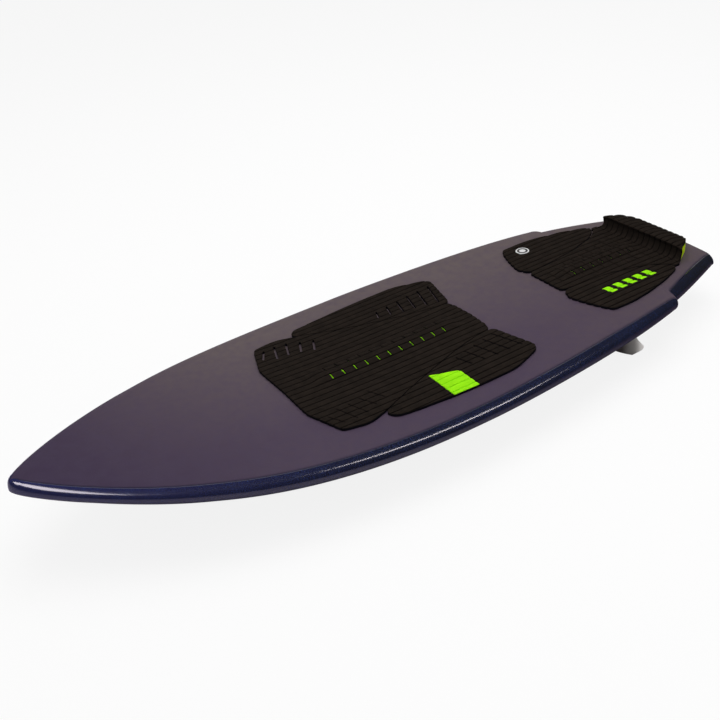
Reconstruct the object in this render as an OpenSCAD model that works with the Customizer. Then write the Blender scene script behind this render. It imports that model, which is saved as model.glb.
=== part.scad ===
/* [Board] */
// Length from nose tip to tail
board_length = 1450; // [1300:10:1600]
// Width at the widest point
board_width = 533; // [480:1:580]
// Thickness at mid length
board_thickness = 42; // [36:1:50]
// Thickness of the nose, just behind its tip
nose_thickness = 26; // [20:1:30]
// Thickness at the tail end
tail_thickness = 19; // [17:1:28]
// Rise of the deck at the nose
nose_rise = 64; // [40:1:80]
// Rise of the bottom at the tail
tail_rise = 17; // [6:1:24]
// Fall of the deck from its centreline to its widest edge
deck_crown = 4; // [2:0.5:8]
// Length of the flat in the bottom, centred at mid length
flat_len = 120; // [80:10:160]

/* [Outline] */
// Fullness of the rounded nose point
nose_round = 31; // [20:1:45]
// Distance of the nose shoulder behind the nose
shoulder_back = 255; // [220:5:290]
// How much narrower each side is at the nose shoulder than at the widest point
shoulder_in = 82.5; // [70:0.5:95]
// Place of the widest point behind mid length
wide_back = 30; // [0:5:60]
// Distance of the wing step from the tail
wing_from_tail = 210; // [180:5:240]
// How much narrower each side is just ahead of the wing step
wing_in = 49.5; // [40:0.5:58]
// Depth of the wing step
step_in = 17; // [14:0.5:22]
// Length of the wing step's rounding
step_run = 13; // [8:1:20]
// How much narrower each side is at the tail than behind the wing step
tail_in = 60; // [50:1:75]
// Radius of the tail corners
corner_r = 22; // [14:1:30]
// Bow of the tail edge
tail_bow = 7; // [3:1:12]

/* [Rails] */
// Width of the rail band seen from above
rail_in = 21; // [16:1:26]
// Drop from the deck edge to the rail apex
rail_drop = 13.5; // [11:0.5:15]
// Width of the tuck under the rail at mid length
rail_tuck = 60; // [48:1:70]
// Width of the tuck under the rail at the tail
tail_tuck = 34; // [20:1:38]
// Length behind mid length over which the tuck narrows
tuck_run = 400; // [380:10:460]
// Share of the way to the bottom that the rail apex drops at the nose tip
nose_drop = 0.6; // [0.5:0.02:0.8]
// Length of the nose over which the apex drops
nose_drop_len = 165; // [120:5:220]
// Roundness of the nose end in side view
nose_end_round = 13; // [9:1:18]
// Length of the nose over which its underside sweeps up to the rail apex
nose_sweep = 90; // [60:5:120]
// Roundness of the tail end in side view
tail_end_round = 4; // [3:0.5:8]
// Rounding left out at the tail, so that it ends in an upright face
tail_end_face = 1.5; // [1:0.5:2.5]

/* [Laminate] */
// Thickness of the deck, bottom and rail laminate
skin = 1.5; // [1:0.1:2.2]
// Thickness of the wooden stringer
stringer = 4; // [3:0.5:8]

/* [Traction pads] */
// Thickness of the foam pads
pad_t = 6; // [5:0.5:8]
// Height of the arch bar above the pads
arch_h = 5; // [3:0.5:7]
// Half width of the arch bar
arch_half = 25; // [20:1:30]
// Length over which the arch bar fades at its ends
arch_ramp = 30; // [20:2:40]
// Gap that the adhesive film takes under every pad
film = 0.3; // [0.3:0.05:0.5]
// Gap between neighbouring pad pieces
seam = 1.5; // [1:0.25:2.5]
// Thickness of the coloured foam strips under the arch bars
strip_t = 3; // [2:0.5:4]
// Half width of the coloured strips
strip_half = 23; // [18:1:26]

/* [Front pad] */
// Front edge of the front pad, ahead of mid length
front_x = 240; // [210:5:260]
// Length of the front pad's centre piece
front_len = 422; // [400:2:440]
// Distance of the centre piece's front corners from the board's greatest half width
front_in = 98.5; // [90:0.5:105]
// Half width of the centre piece at its back edge
front_back_half = 66; // [60:1:72]
// Distance of the side pieces' outer edges from the board's greatest half width
front_side_in = 67.5; // [60:0.5:75]
// How far the side pieces reach back past the centre piece
front_side_back = 22; // [14:1:28]
// Distance of the front arch bar from the pad's front edge
front_arch_in = 50; // [40:2:60]
// Distance of the front arch bar from the centre piece's back edge
front_arch_back = 30; // [20:2:40]
// Front end of the front coloured strip, behind the pad's front edge
front_strip_in = 72; // [60:2:90]
// Length of the front coloured strip
front_strip_len = 300; // [280:5:310]
// Width of the coloured corner block along the pad's edge
tag_w = 52; // [40:1:60]
// Place of the block behind the pad's front edge
tag_back = 233; // [225:1:245]
// Black foam left between the block and the pad's inner seam
tag_web = 5; // [3:1:8]
// How much further out the block's back edge starts
tag_slant = 22; // [10:1:26]

/* [Rear pad] */
// Front edge of the rear pad from the tail
rear_from_tail = 353; // [345:1:370]
// Half width of the rear centre piece at its front
rear_half = 48; // [44:1:52]
// Distance of the side pieces' outer edges from the outline just ahead of the wing step
rear_side_in = 47; // [42:1:56]
// How far the side pieces reach ahead of the centre piece
rear_side_front = 8; // [4:1:12]
// Distance of the rear arch bar from the pad's front edge
rear_arch_in = 30; // [20:2:40]
// Distance of the rear arch bar from the kick
rear_arch_back = 14; // [10:1:20]
// Front end of the rear coloured strip, behind the pad's front edge
rear_strip_in = 52; // [40:2:60]
// Length of the rear coloured strip
rear_strip_len = 172; // [160:2:180]
// Distance of the kick's corners from the outline at the tail
kick_in = 20; // [16:1:26]
// Height of the kick above the deck
kick_h = 33.5; // [26:0.5:38]
// Height of the kick's back edge
kick_back_h = 23.5; // [20:0.5:27]
// Front wall of the kick from the tail
kick_from_tail = 88; // [84:1:94]
// Length of pad that the kick's black foam covers ahead of its wall
kick_lip = 9; // [6:1:12]
// Back edge of the kick from the tail
kick_back_from_tail = 21; // [17:1:24]
// Thickness of the black foam over the kick's wedge
kick_cap_t = 8; // [6:0.5:10]
// Diameter of the round inlay in the rear pad
badge_d = 29; // [24:1:36]
// Thickness of the round inlay
badge_t = 1.5; // [1:0.25:2]
// Place of the inlay behind the rear pad's front edge
badge_back = 56; // [50:1:70]
// Distance of the inlay from the side piece's outer edge
badge_in = 34; // [30:1:40]

/* [Fins] */
// Depth of a fin blade below the board
fin_depth = 70; // [55:1:80]
// Length of a fin at its base
fin_base = 86; // [80:1:94]
// Greatest thickness of a fin blade
fin_t = 6.4; // [5.5:0.1:7]
// Thickness of a fin's trailing edge and tip
fin_edge_t = 1; // [0.8:0.1:1.4]
// Sweep of the leading edge at the tip
fin_rake = 80; // [70:1:95]
// Sweep of the trailing edge at the tip
fin_hook = 34; // [20:1:40]
// Rounding of the tip's trailing corner
fin_tip_r = 22; // [12:1:26]
// Outward lean of the side fins in degrees
fin_cant = 7; // [0:1:9]
// Inward turn of the side fins in degrees
fin_toe = 2.5; // [0:0.5:4]
// Side fin centre from the tail
side_fin_from_tail = 329; // [320:1:345]
// Side fin centre from the rail
side_fin_in = 64; // [62:1:80]
// Centre fin centre from the tail
rear_fin_from_tail = 113; // [105:1:120]

/* [Fin boxes] */
// Length of the box flange
box_len = 100; // [96:1:104]
// Width of the box flange
box_w = 26; // [25:1:28]
// Thickness of the box flange
flange_t = 2.5; // [2:0.25:4]
// Depth of the box
box_depth = 18; // [17:0.5:20]
// Ledge of the flange around the box's body
flange_ledge = 2; // [1.5:0.25:2.5]
// Length of the fin's tab
tab_len = 76; // [70:1:80]
// Thickness of the fin's tab
tab_t = 6.4; // [6:0.1:7]
// Depth of the fin's tab
tab_depth = 14; // [12:0.5:15]
// Clearance around the tab in its slot
tab_gap = 0.5; // [0.3:0.05:0.6]
// Clearance round a box in its pocket
box_gap = 0.1; // [0.05:0.05:0.2]
// Gap between a fin blade and the board
blade_gap = 0.3; // [0.2:0.05:0.5]
// Diameter of a grub screw
screw_d = 6; // [5:0.5:6]
// Length of a grub screw
screw_len = 8; // [6:0.5:9]
// Recess of a grub screw below the box's face
screw_recess = 1; // [0.5:0.25:2]
// Radial clearance of a grub screw in its bore
screw_gap = 0.05; // [0.03:0.01:0.08]
// Gap between a grub screw and the tab that it holds
screw_side_gap = 0.1; // [0.05:0.05:0.2]
// Distance of a grub screw from the middle of the box
screw_x = 24; // [18:1:28]
// Width across flats of the screw's hex socket
hex_af = 3; // [2.5:0.5:3]
// Depth of the hex socket
hex_depth = 3; // [2:0.5:4]

/* [Hidden] */

half_length = board_length / 2;
half_width = board_width / 2;
shoulder_x = half_length - shoulder_back;
shoulder_half = half_width - shoulder_in;
wing_half = half_width - wing_in;
step_half = wing_half - step_in;
tail_half = step_half - tail_in;
tail_x = -half_length;
wide_x = -wide_back;
wing_x = tail_x + wing_from_tail;
side_fin_x = tail_x + side_fin_from_tail;
rear_fin_x = tail_x + rear_fin_from_tail;
flat_half = flat_len / 2;

// Points across each part of the half section
DECK_N = 4;
UPPER_N = 4;
LOWER_N = 5;
BOTTOM_N = 4;

// ---- Curves ----
function cubic(p, t) =
    pow(1 - t, 3) * p[0] + 3 * t * pow(1 - t, 2) * p[1] + 3 * t * t * (1 - t) * p[2] + pow(t, 3) * p[3];
// Shares of a way in n steps, without the first
function steps(n) = [for (i = [1:n]) i / n];
function clamp(v, low, high) = min(max(v, low), high);
// Value at x of a line through points whose first numbers fall
function line_at(points, x, i = 0) =
    i >= len(points) - 2 || x >= points[i + 1][0]
        ? points[i][1] + (points[i + 1][1] - points[i][1])
            * clamp((points[i][0] - x) / (points[i][0] - points[i + 1][0]), 0, 1)
        : line_at(points, x, i + 1);

// ---- Rocker and foil ----
// Share of the way to the nose or to the tail, from mid length or from the end of the flat
function fore(x, from = 0) = max(x - from, 0) / (half_length - from);
function aft(x, from = 0) = max(-x - from, 0) / (half_length - from);
// Rise of the bottom over its flat, and its slope behind the flat in degrees
function bottom_rise(x) = nose_rise * pow(fore(x, flat_half), 2)
    + (board_thickness - nose_thickness) * pow(fore(x), 3) + tail_rise * pow(aft(x, flat_half), 2);
function bottom_tilt(x) = atan(2 * tail_rise * aft(x, flat_half) / (half_length - flat_half));
// The side fins' tips stand on z = 0, so the flat of the bottom lies this high
side_tilt = bottom_tilt(side_fin_x);
stand_z = fin_depth * cos(side_tilt) - (fin_rake - fin_base / 2) * sin(side_tilt)
    - bottom_rise(side_fin_x);
function bottom_at(x) = stand_z + bottom_rise(x);
function crown_drop(y) = deck_crown * pow(y / half_width, 2);
function deck_at(x, y = 0) = stand_z + board_thickness + nose_rise * pow(fore(x), 2)
    + tail_rise * pow(aft(x), 2) - (board_thickness - tail_thickness) * pow(aft(x), 4) - crown_drop(y);

// ---- Plan outline, from nose to tail: [x, half width] ----
nose_curve = [[half_length, 0], [half_length, nose_round],
    [half_length - 0.53 * shoulder_back, 0.733 * shoulder_half], [shoulder_x, shoulder_half]];
shoulder_curve = [[shoulder_x, shoulder_half], [half_length - 1.215 * shoulder_back, 1.12 * shoulder_half],
    [wide_x + 0.65 * (shoulder_x - wide_x), half_width], [wide_x, half_width]];
hip_curve = [[wide_x, half_width], [wide_x + 0.165 * (wing_x - wide_x), half_width],
    [wing_x + 0.33 * (wide_x - wing_x), wing_half + 0.747 * wing_in], [wing_x, wing_half]];
// Half width at x on a curve whose x falls, by halving the stretch that holds it
function on_curve(curve, x, low = 0, high = 1, left = 20) =
    let (t = (low + high) / 2, p = cubic(curve, t))
    left == 0 ? p[1]
        : p[0] > x ? on_curve(curve, x, t, high, left - 1) : on_curve(curve, x, low, t, left - 1);
function half_at(x) = on_curve(x > shoulder_x ? nose_curve : x > wide_x ? shoulder_curve : hip_curve, x);
notch_x = wing_x - step_run;
step_points = [for (a = [30, 60, 90]) [wing_x - step_run * sin(a), step_half + step_in * cos(a)]];
corner_run = 0.65 * corner_r;
corner_x = tail_x + tail_bow + corner_run;
side_curve = [[notch_x, step_half], [notch_x + 0.33 * (corner_x - notch_x), step_half - 0.25 * tail_in],
    [notch_x + 0.72 * (corner_x - notch_x), tail_half + 0.33 * tail_in], [corner_x, tail_half]];
corner_points = [for (a = [30, 60, 90])
    [corner_x - corner_run * sin(a), tail_half - corner_r * (1 - cos(a))]];
NOSE_T = [0.03, 0.07, 0.12, 0.18, 0.26, 0.36, 0.48, 0.61, 0.74, 0.87, 1];
body_outline = concat([for (t = NOSE_T) cubic(nose_curve, t)],
    [for (t = steps(10)) let (x = shoulder_x + (wide_x - shoulder_x) * t) [x, half_at(x)]],
    [for (t = steps(10)) let (x = wide_x + (wing_x - wide_x) * t) [x, half_at(x)]]);
tail_outline = concat(step_points, [for (t = steps(6)) cubic(side_curve, t)], corner_points);
outline = concat(body_outline, tail_outline);
BODY_END = len(body_outline) - 1;
LAST = len(outline) - 1;

// ---- Sections ----
// How far the section has closed towards an end of the board
function closing(gap, round) = gap >= round ? 1 : sqrt(1 - pow(1 - max(gap, 0.3) / round, 2));
function end_share(x) = closing(half_length - x, nose_end_round)
    * closing(x - tail_x - tail_bow + tail_end_face, tail_end_round);
function apex_drop(x) = rail_drop
    + nose_drop * (nose_thickness - rail_drop) * pow(fore(x, half_length - nose_drop_len), 3);
function tuck_at(x, w) = min(rail_tuck + (tail_tuck - rail_tuck) * clamp(-x / tuck_run, 0, 1), 0.6 * w);
// The tail edge bows back towards the centreline
function bow_at(x, w, y) = x < wing_x
    ? -tail_bow * pow((wing_x - x) / (wing_x - tail_x - tail_bow), 3) * (1 - pow(y / w, 2)) : 0;
// A station holds [x, half width, deck edge, apex height, share of full section, inset,
// share of the part below the apex]
function station(p, inset) =
    let (band = min(rail_in, 0.85 * p[1]), edge = p[1] - band, apex = deck_at(p[0], edge) - apex_drop(p[0]))
    [p[0], p[1] - min(inset, 0.4 * p[1]), edge - min(inset, 0.4 * edge), apex, end_share(p[0]), inset,
        closing(half_length - p[0], nose_sweep)];
function place(s, y, z) =
    [s[0] + bow_at(s[0], s[1], y), y, s[3] + (z - s[3]) * s[4] * (z < s[3] ? s[6] : 1)];
function spine_y(s) = min(stringer / 2, s[2] / 2);
function deck_z(s, y) = deck_at(s[0] + bow_at(s[0], s[1], y), y) - s[5];
function deck_path(s) = [for (k = [0:DECK_N])
    let (y = spine_y(s) + (s[2] - spine_y(s)) * k / DECK_N) place(s, y, deck_z(s, y))];
function upper_path(s) = let (edge_z = deck_z(s, s[2]), w = s[1], run = s[1] - s[2])
    [for (t = steps(UPPER_N)) let (q = cubic([[s[2], edge_z], [s[2] + 0.58 * run, edge_z],
        [w, s[3] + 0.62 * (edge_z - s[3])], [w, s[3]]], t)) place(s, q[0], q[1])];
function lower_path(s) = let (low = bottom_at(s[0]) + s[5], w = s[1], tuck = tuck_at(s[0], s[1]))
    [for (k = [0:LOWER_N - 1]) let (q = cubic([[w - tuck, low], [w - 0.45 * tuck, low],
        [w, s[3] - 0.55 * (s[3] - low)], [w, s[3]]], k / LOWER_N)) place(s, q[0], q[1])];
function bottom_path(s) = let (low = bottom_at(s[0]) + s[5], end = s[1] - tuck_at(s[0], s[1]))
    [for (k = [0:BOTTOM_N]) place(s, spine_y(s) + (end - spine_y(s)) * k / BOTTOM_N, low)];
function head(path) = [for (i = [0:len(path) - 2]) path[i]];
function reversed(path) = [for (i = [len(path) - 1:-1:0]) path[i]];
function mirrored(path) = concat([for (p = reversed(path)) [p[0], -p[1], p[2]]], path);
function rail_path(s) = concat([deck_path(s)[DECK_N]], upper_path(s), reversed(lower_path(s)));

// Solid between two nets of points. Stations run towards -X and each path towards +Y.
// A net that is even about the centreline has its diagonals mirrored, and the flips choose
// the diagonals that a neighbouring piece has.
module net_solid(top, bottom, even = false, bottom_flip = false, side_flip = [false, true]) {
    m = len(top);
    n = len(top[0]);
    mid = (n - 1) / 2;
    function upper(i, j) = i * n + j;
    function under(i, j) = m * n + i * n + j;
    function two(a, b, c, d, flip) = flip ? [[a, b, d], [b, c, d]] : [[a, b, c], [a, c, d]];
    quads = concat(
        [for (i = [0:m - 2], j = [0:n - 2]) two(upper(i + 1, j), upper(i + 1, j + 1), upper(i, j + 1),
            upper(i, j), even && j < mid)],
        [for (i = [0:m - 2], j = [0:n - 2]) two(under(i, j), under(i, j + 1), under(i + 1, j + 1),
            under(i + 1, j), !(bottom_flip || (even && j < mid)))],
        [for (i = [0:m - 2]) two(under(i + 1, 0), upper(i + 1, 0), upper(i, 0), under(i, 0), side_flip[0])],
        [for (i = [0:m - 2]) two(under(i, n - 1), upper(i, n - 1), upper(i + 1, n - 1),
            under(i + 1, n - 1), side_flip[1])],
        [for (j = [0:n - 2]) two(under(0, j), upper(0, j), upper(0, j + 1), under(0, j + 1),
            even && j >= mid)],
        [for (j = [0:n - 2]) two(under(m - 1, j + 1), upper(m - 1, j + 1), upper(m - 1, j),
            under(m - 1, j), even && j < mid)]);
    polyhedron(points = concat([for (r = top) each r], [for (r = bottom) each r]),
        faces = [for (q = quads) each q], convexity = 8);
}

function inner_stations(first, last) = [for (i = [first:last]) station(outline[i], skin)];
function outer_stations(first, last) = [for (i = [first:last]) station(outline[i], 0)];
function core_top(s) = concat(deck_path(s), upper_path(s));
function core_bottom(s) = concat(head(bottom_path(s)), lower_path(s));
function pair_across(p) = [[p[0], -p[1], p[2]], p];

module core_half() {
    inner = inner_stations(1, LAST - 1);
    net_solid([for (s = inner) core_top(s)], [for (s = inner) core_bottom(s)],
        bottom_flip = true, side_flip = [false, false]);
}
module core_port() {
    color("white") difference() {
        core_half();
        box_pocket("port");
        box_pocket("centre");
    }
}
module core_starboard() {
    color("white") difference() {
        mirror([0, 1, 0]) core_half();
        box_pocket("starboard");
        box_pocket("centre");
    }
}
module stringer() {
    inner = inner_stations(1, LAST - 1);
    color("burlywood") difference() {
        net_solid([for (s = inner) pair_across(deck_path(s)[0])],
            [for (s = inner) pair_across(bottom_path(s)[0])], even = true);
        box_pocket("centre");
    }
}
module deck_skin() {
    color([0.32, 0.28, 0.34]) net_solid([for (s = outer_stations(0, LAST)) mirrored(deck_path(s))],
        [for (s = inner_stations(0, LAST)) mirrored(deck_path(s))], even = true);
}
module bottom_skin() {
    color([0.12, 0.14, 0.22]) difference() {
        net_solid([for (s = inner_stations(0, LAST)) mirrored(bottom_path(s))],
            [for (s = outer_stations(0, LAST)) mirrored(bottom_path(s))],
            even = true, side_flip = [true, false]);
        for (f = ["port", "starboard", "centre"]) box_pocket(f);
    }
}
module rail_half(first, last) {
    net_solid([for (s = outer_stations(first, last)) rail_path(s)],
        [for (s = inner_stations(first, last)) rail_path(s)]);
}
module rail_port() { color([0.1, 0.13, 0.24]) rail_half(0, BODY_END); }
module rail_starboard() { color([0.1, 0.13, 0.24]) mirror([0, 1, 0]) rail_half(0, BODY_END); }
module tail_rail_port() { color([0.1, 0.13, 0.24]) rail_half(BODY_END, LAST); }
module tail_rail_starboard() { color([0.1, 0.13, 0.24]) mirror([0, 1, 0]) rail_half(BODY_END, LAST); }
// Laminate that closes the core's end
module end_cap(first) {
    inner = inner_stations(first, first + 1);
    net_solid([for (s = inner) mirrored(core_top(s))], [for (s = inner) mirrored(core_bottom(s))],
        even = true);
}
module nose_cap() { color([0.1, 0.13, 0.24]) end_cap(0); }
module tail_cap() { color([0.1, 0.13, 0.24]) end_cap(LAST - 1); }

// ---- Pads: each a slab that follows the deck between two edge lines ----
pad_step = 36;
// Numbers sorted from high to low, each once
function sorted(v) = len(v) < 2 ? v : let (m = v[floor(len(v) / 2)])
    concat(sorted([for (a = v) if (a > m) a]), [m], sorted([for (a = v) if (a < m) a]));
// Numbers that fall, with others put in where they lie more than a pad step apart
function filled(v) = [for (i = [0:len(v) - 1]) each i == len(v) - 1 ? [v[i]]
    : let (n = ceil((v[i] - v[i + 1]) / pad_step)) [for (k = [0:n - 1]) v[i] + (v[i + 1] - v[i]) * k / n]];
function firsts(points) = [for (p = points) p[0]];
function flipped(points) = [for (p = points) [p[0], -p[1]]];
// Height of the arch bar over the pad, tapered at both ends
function arch_at(x, y, ends) = abs(y) >= arch_half ? 0
    : arch_h * (1 - pow(y / arch_half, 2)) * clamp(min(ends[0] - x, x - ends[1]) / arch_ramp, 0, 1);
module pad_slab(xs, inner, outer, across, arch = [0, 0], t = pad_t, base = film) {
    rows = [for (x = filled(sorted(xs))) [for (u = [0:across]) let (a = line_at(inner, x))
        [x, a + (line_at(outer, x) - a) * u / across]]];
    net_solid([for (r = rows) [for (p = r)
            [p[0], p[1], deck_at(p[0], p[1]) + t + arch_at(p[0], p[1], arch)]]],
        [for (r = rows) [for (p = r) [p[0], p[1], deck_at(p[0], p[1]) + base]]]);
}
// Coloured foam strip on the centreline under an arch bar. Its recess in the pad has a lower base.
recess_base = -strip_t;
module strip(front, length, base) {
    edge = [[front, strip_half], [front - length, strip_half]];
    pad_slab(firsts(edge), flipped(edge), edge, 6, t = film + strip_t, base = base);
}

// Front pad. Edge points are [share of the centre piece's length, share of a width].
front_half = half_width - front_in;
front_side_half = half_width - front_side_in;
front_back_x = front_x - front_len;
function front_at(share) = front_x - share * front_len;
front_wide = [[0, 0.565], [0.062, 0.97], [0.178, 1.024], [0.268, 0.94]];
front_narrow = [[0.569, 0.44], [0.806, 0.108], [0.979, 0]];
front_seam = concat([for (p = front_wide) [front_at(p[0]), p[1] * front_half]],
    [for (p = front_narrow) [front_at(p[0]), front_back_half + p[1] * (front_half - front_back_half)]]);
front_edge = concat(front_seam, [[front_back_x, 0.76 * front_back_half]]);
front_side_inner = concat([for (p = front_seam) [p[0], p[1] + seam]],
    [[front_back_x - 0.36 * front_side_back, 0.573 * front_side_half],
    [front_back_x - front_side_back, 0.779 * front_side_half]]);
front_side_shape = [[0.27, 0.884], [0.296, 0.925], [0.45, 0.965], [0.569, 0.985], [0.687, 1], [0.88, 1]];
front_side_outer = concat([for (p = front_side_shape) [front_at(p[0]), p[1] * front_side_half]],
    [[front_back_x - 0.64 * front_side_back, 0.864 * front_side_half],
    [front_back_x - front_side_back, 0.834 * front_side_half]]);
module front_strip_body(base = film) { strip(front_x - front_strip_in, front_strip_len, base); }
module front_pad_centre() {
    color([0.1, 0.09, 0.08]) difference() {
        pad_slab(firsts(front_edge), flipped(front_edge), front_edge, 16,
            [front_x - front_arch_in, front_back_x + front_arch_back]);
        front_strip_body(recess_base);
    }
}
module front_side() {
    xs = concat(firsts(front_side_outer), [for (x = firsts(front_side_inner)) if (x < front_at(0.3)) x]);
    pad_slab(xs, front_side_inner, front_side_outer, 4);
}
// Plan of the coloured block in the port side piece
module tag_prism() {
    x = front_x - tag_back;
    inner = line_at(front_side_inner, x) + tag_web;
    translate([0, 0, stand_z]) linear_extrude(board_thickness + nose_rise)
        polygon([[x, inner], [x - tag_w, inner + tag_slant], [x - tag_w, half_width], [x, half_width]]);
}
module front_pad_port() { color([0.1, 0.09, 0.08]) difference() { front_side(); tag_prism(); } }
module front_pad_tag() { color([0.6, 1, 0.1]) intersection() { front_side(); tag_prism(); } }
module front_pad_starboard() { color([0.1, 0.09, 0.08]) mirror([0, 1, 0]) front_side(); }
module front_strip() { color([0.6, 1, 0.1]) front_strip_body(); }

// Rear pad, up to the lip of the kick's black foam
rear_x = tail_x + rear_from_tail;
kick_x = tail_x + kick_from_tail;
kick_back_x = tail_x + kick_back_from_tail;
lip_x = kick_x + kick_lip;
kick_half = tail_half - kick_in;
rear_side_half = wing_half - rear_side_in;
function rear_at(share) = rear_x + share * (lip_x - rear_x);
rear_shape = [[0, -0.03], [0.031, 0.014], [0.266, 0.083], [0.5, 0.18], [0.676, 0.3], [0.813, 0.5],
    [0.922, 0.79], [0.97, 0.93], [1, 1]];
rear_edge = [for (p = rear_shape) [rear_at(p[0]), rear_half + p[1] * (kick_half - rear_half)]];
rear_side_inner = concat(
    [[rear_x + rear_side_front, 0.435 * rear_side_half], [rear_x, 0.341 * rear_side_half]],
    [for (i = [1:6]) [rear_edge[i][0], rear_edge[i][1] + seam]]);
rear_side_shape = [[0, 0.618], [0.031, 0.765], [0.098, 0.982], [0.305, 1], [0.5, 0.959], [0.734, 0.882],
    [0.852, 0.812], [0.922, 0.753]];
rear_side_outer = concat([[rear_x + rear_side_front, 0.494 * rear_side_half]],
    [for (p = rear_side_shape) [rear_at(p[0]), p[1] * rear_side_half]]);
badge_x = rear_x - badge_back;
badge_y = badge_in - rear_side_half;
module rear_strip_body(base = film) { strip(rear_x - rear_strip_in, rear_strip_len, base); }
module rear_pad_centre() {
    color([0.1, 0.09, 0.08]) difference() {
        pad_slab(firsts(rear_edge), flipped(rear_edge), rear_edge, 12,
            [rear_x - rear_arch_in, kick_x + rear_arch_back]);
        rear_strip_body(recess_base);
    }
}
module rear_side() {
    pad_slab(concat(firsts(rear_side_outer), firsts(rear_side_inner)), rear_side_inner, rear_side_outer, 4);
}
module badge_disc(height) {
    translate([badge_x, badge_y, deck_at(badge_x, badge_y) + pad_t - badge_t])
        cylinder(d = badge_d, h = height, $fn = 64);
}
module rear_pad_port() { color([0.1, 0.09, 0.08]) rear_side(); }
module rear_pad_starboard() {
    color([0.1, 0.09, 0.08]) difference() { mirror([0, 1, 0]) rear_side(); badge_disc(2 * pad_t); }
}
module rear_pad_badge() { color("white") badge_disc(badge_t); }
module rear_strip() { color([0.6, 1, 0.1]) rear_strip_body(); }

// Kick: half widths and heights over the deck, from front to back
kick_len = kick_x - kick_back_x;
function kick_at(share) = kick_x - share * kick_len;
kick_front_x = lip_x - seam / 5;
kick_shape = [[0, 0.935], [0.24, 0.85], [0.507, 0.755], [0.8, 0.64], [1, 0.46]];
kick_edge = concat([[kick_front_x, 0.98 * kick_half]],
    [for (p = kick_shape) [kick_at(p[0]), p[1] * kick_half]]);
wall_x = kick_at(0.05);
kick_top = [[kick_front_x, pad_t], [kick_at(-0.04), 1.5 * pad_t], [kick_at(0.03), 0.87 * kick_h],
    [kick_at(0.1), 0.95 * kick_h], [kick_at(0.28), kick_h], [kick_at(0.507), 0.95 * kick_h],
    [kick_back_x, kick_back_h]];
wedge_top = [[wall_x, 0.87 * kick_h - kick_cap_t], [kick_at(0.17), 0.97 * kick_h - kick_cap_t],
    [kick_at(0.28), kick_h - kick_cap_t], [kick_at(0.507), 0.95 * kick_h - kick_cap_t],
    [kick_back_x, kick_back_h - kick_cap_t]];
kick_xs = [for (share = [0.17, 0.28, 0.507, 0.8, 1]) kick_at(share)];
function kick_rows(xs, heights) = [for (x = xs) [for (u = [-4:4]) let (y = line_at(kick_edge, x) * u / 4)
    [x, y, deck_at(x, y) + line_at(heights, x)]]];
module kick_wedge() {
    xs = concat([wall_x], kick_xs);
    color([0.6, 1, 0.1])
        net_solid(kick_rows(xs, wedge_top), kick_rows(xs, [[wall_x, film], [kick_back_x, film]]));
}
module kick_cap() {
    foot_x = wall_x + seam / 20;
    xs = concat([kick_front_x, kick_at(-0.04), kick_at(0.03), foot_x, wall_x], kick_xs);
    under = concat([[kick_front_x, film], [foot_x, film]], wedge_top);
    color([0.1, 0.09, 0.08]) net_solid(kick_rows(xs, kick_top), kick_rows(xs, under));
}

// ---- Fins, their boxes and grub screws ----
// Local frame of a fin: X along its base, Z up into the board, z = 0 on the board's bottom
function fin_x(which) = which == "centre" ? rear_fin_x : side_fin_x;
function fin_side(which) = which == "port" ? 1 : which == "starboard" ? -1 : 0;
side_fin_y = half_at(side_fin_x) - side_fin_in;
module at_fin(which) {
    x = fin_x(which);
    translate([x, fin_side(which) * side_fin_y, bottom_at(x)])
        rotate([0, 0, -fin_side(which) * fin_toe]) rotate([0, bottom_tilt(x), 0]) children();
}
// Upright slab with round ends
module stadium(length, width, low, high) {
    translate([0, 0, low]) linear_extrude(high - low) {
        square([length - width, width], center = true);
        for (s = [-1, 1]) translate([s * (length - width) / 2, 0]) circle(d = width, $fn = 48);
    }
}
module box_pocket(which) {
    at_fin(which) {
        stadium(box_len + 2 * box_gap, box_w + 2 * box_gap, -5, flange_t + box_gap);
        stadium(box_len - 2 * flange_ledge + 2 * box_gap, box_w - 2 * flange_ledge + 2 * box_gap, 0,
            box_depth + box_gap);
    }
}
// Grub screws press on the tab's side that faces the board's centreline
screw_y = max(tab_t, fin_t) / 2 + screw_side_gap + screw_d / 2;
function screw_side(which) = which == "port" ? -1 : 1;
module fin_box(which) {
    color([0.85, 0.85, 0.85]) at_fin(which) difference() {
        union() {
            stadium(box_len, box_w, 0, flange_t);
            stadium(box_len - 2 * flange_ledge, box_w - 2 * flange_ledge, flange_t - 0.5, box_depth);
        }
        translate([-tab_len / 2 - tab_gap, -tab_t / 2 - tab_gap, -1])
            cube([tab_len + 2 * tab_gap, tab_t + 2 * tab_gap, tab_depth + 2]);
        for (s = [-1, 1]) translate([s * screw_x, screw_side(which) * screw_y, -1])
            cylinder(r = screw_d / 2 + screw_gap, h = screw_len + screw_recess + 3, $fn = 48);
    }
}
module fin_box_port() { fin_box("port"); }
module fin_box_starboard() { fin_box("starboard"); }
module fin_box_centre() { fin_box("centre"); }

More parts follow.
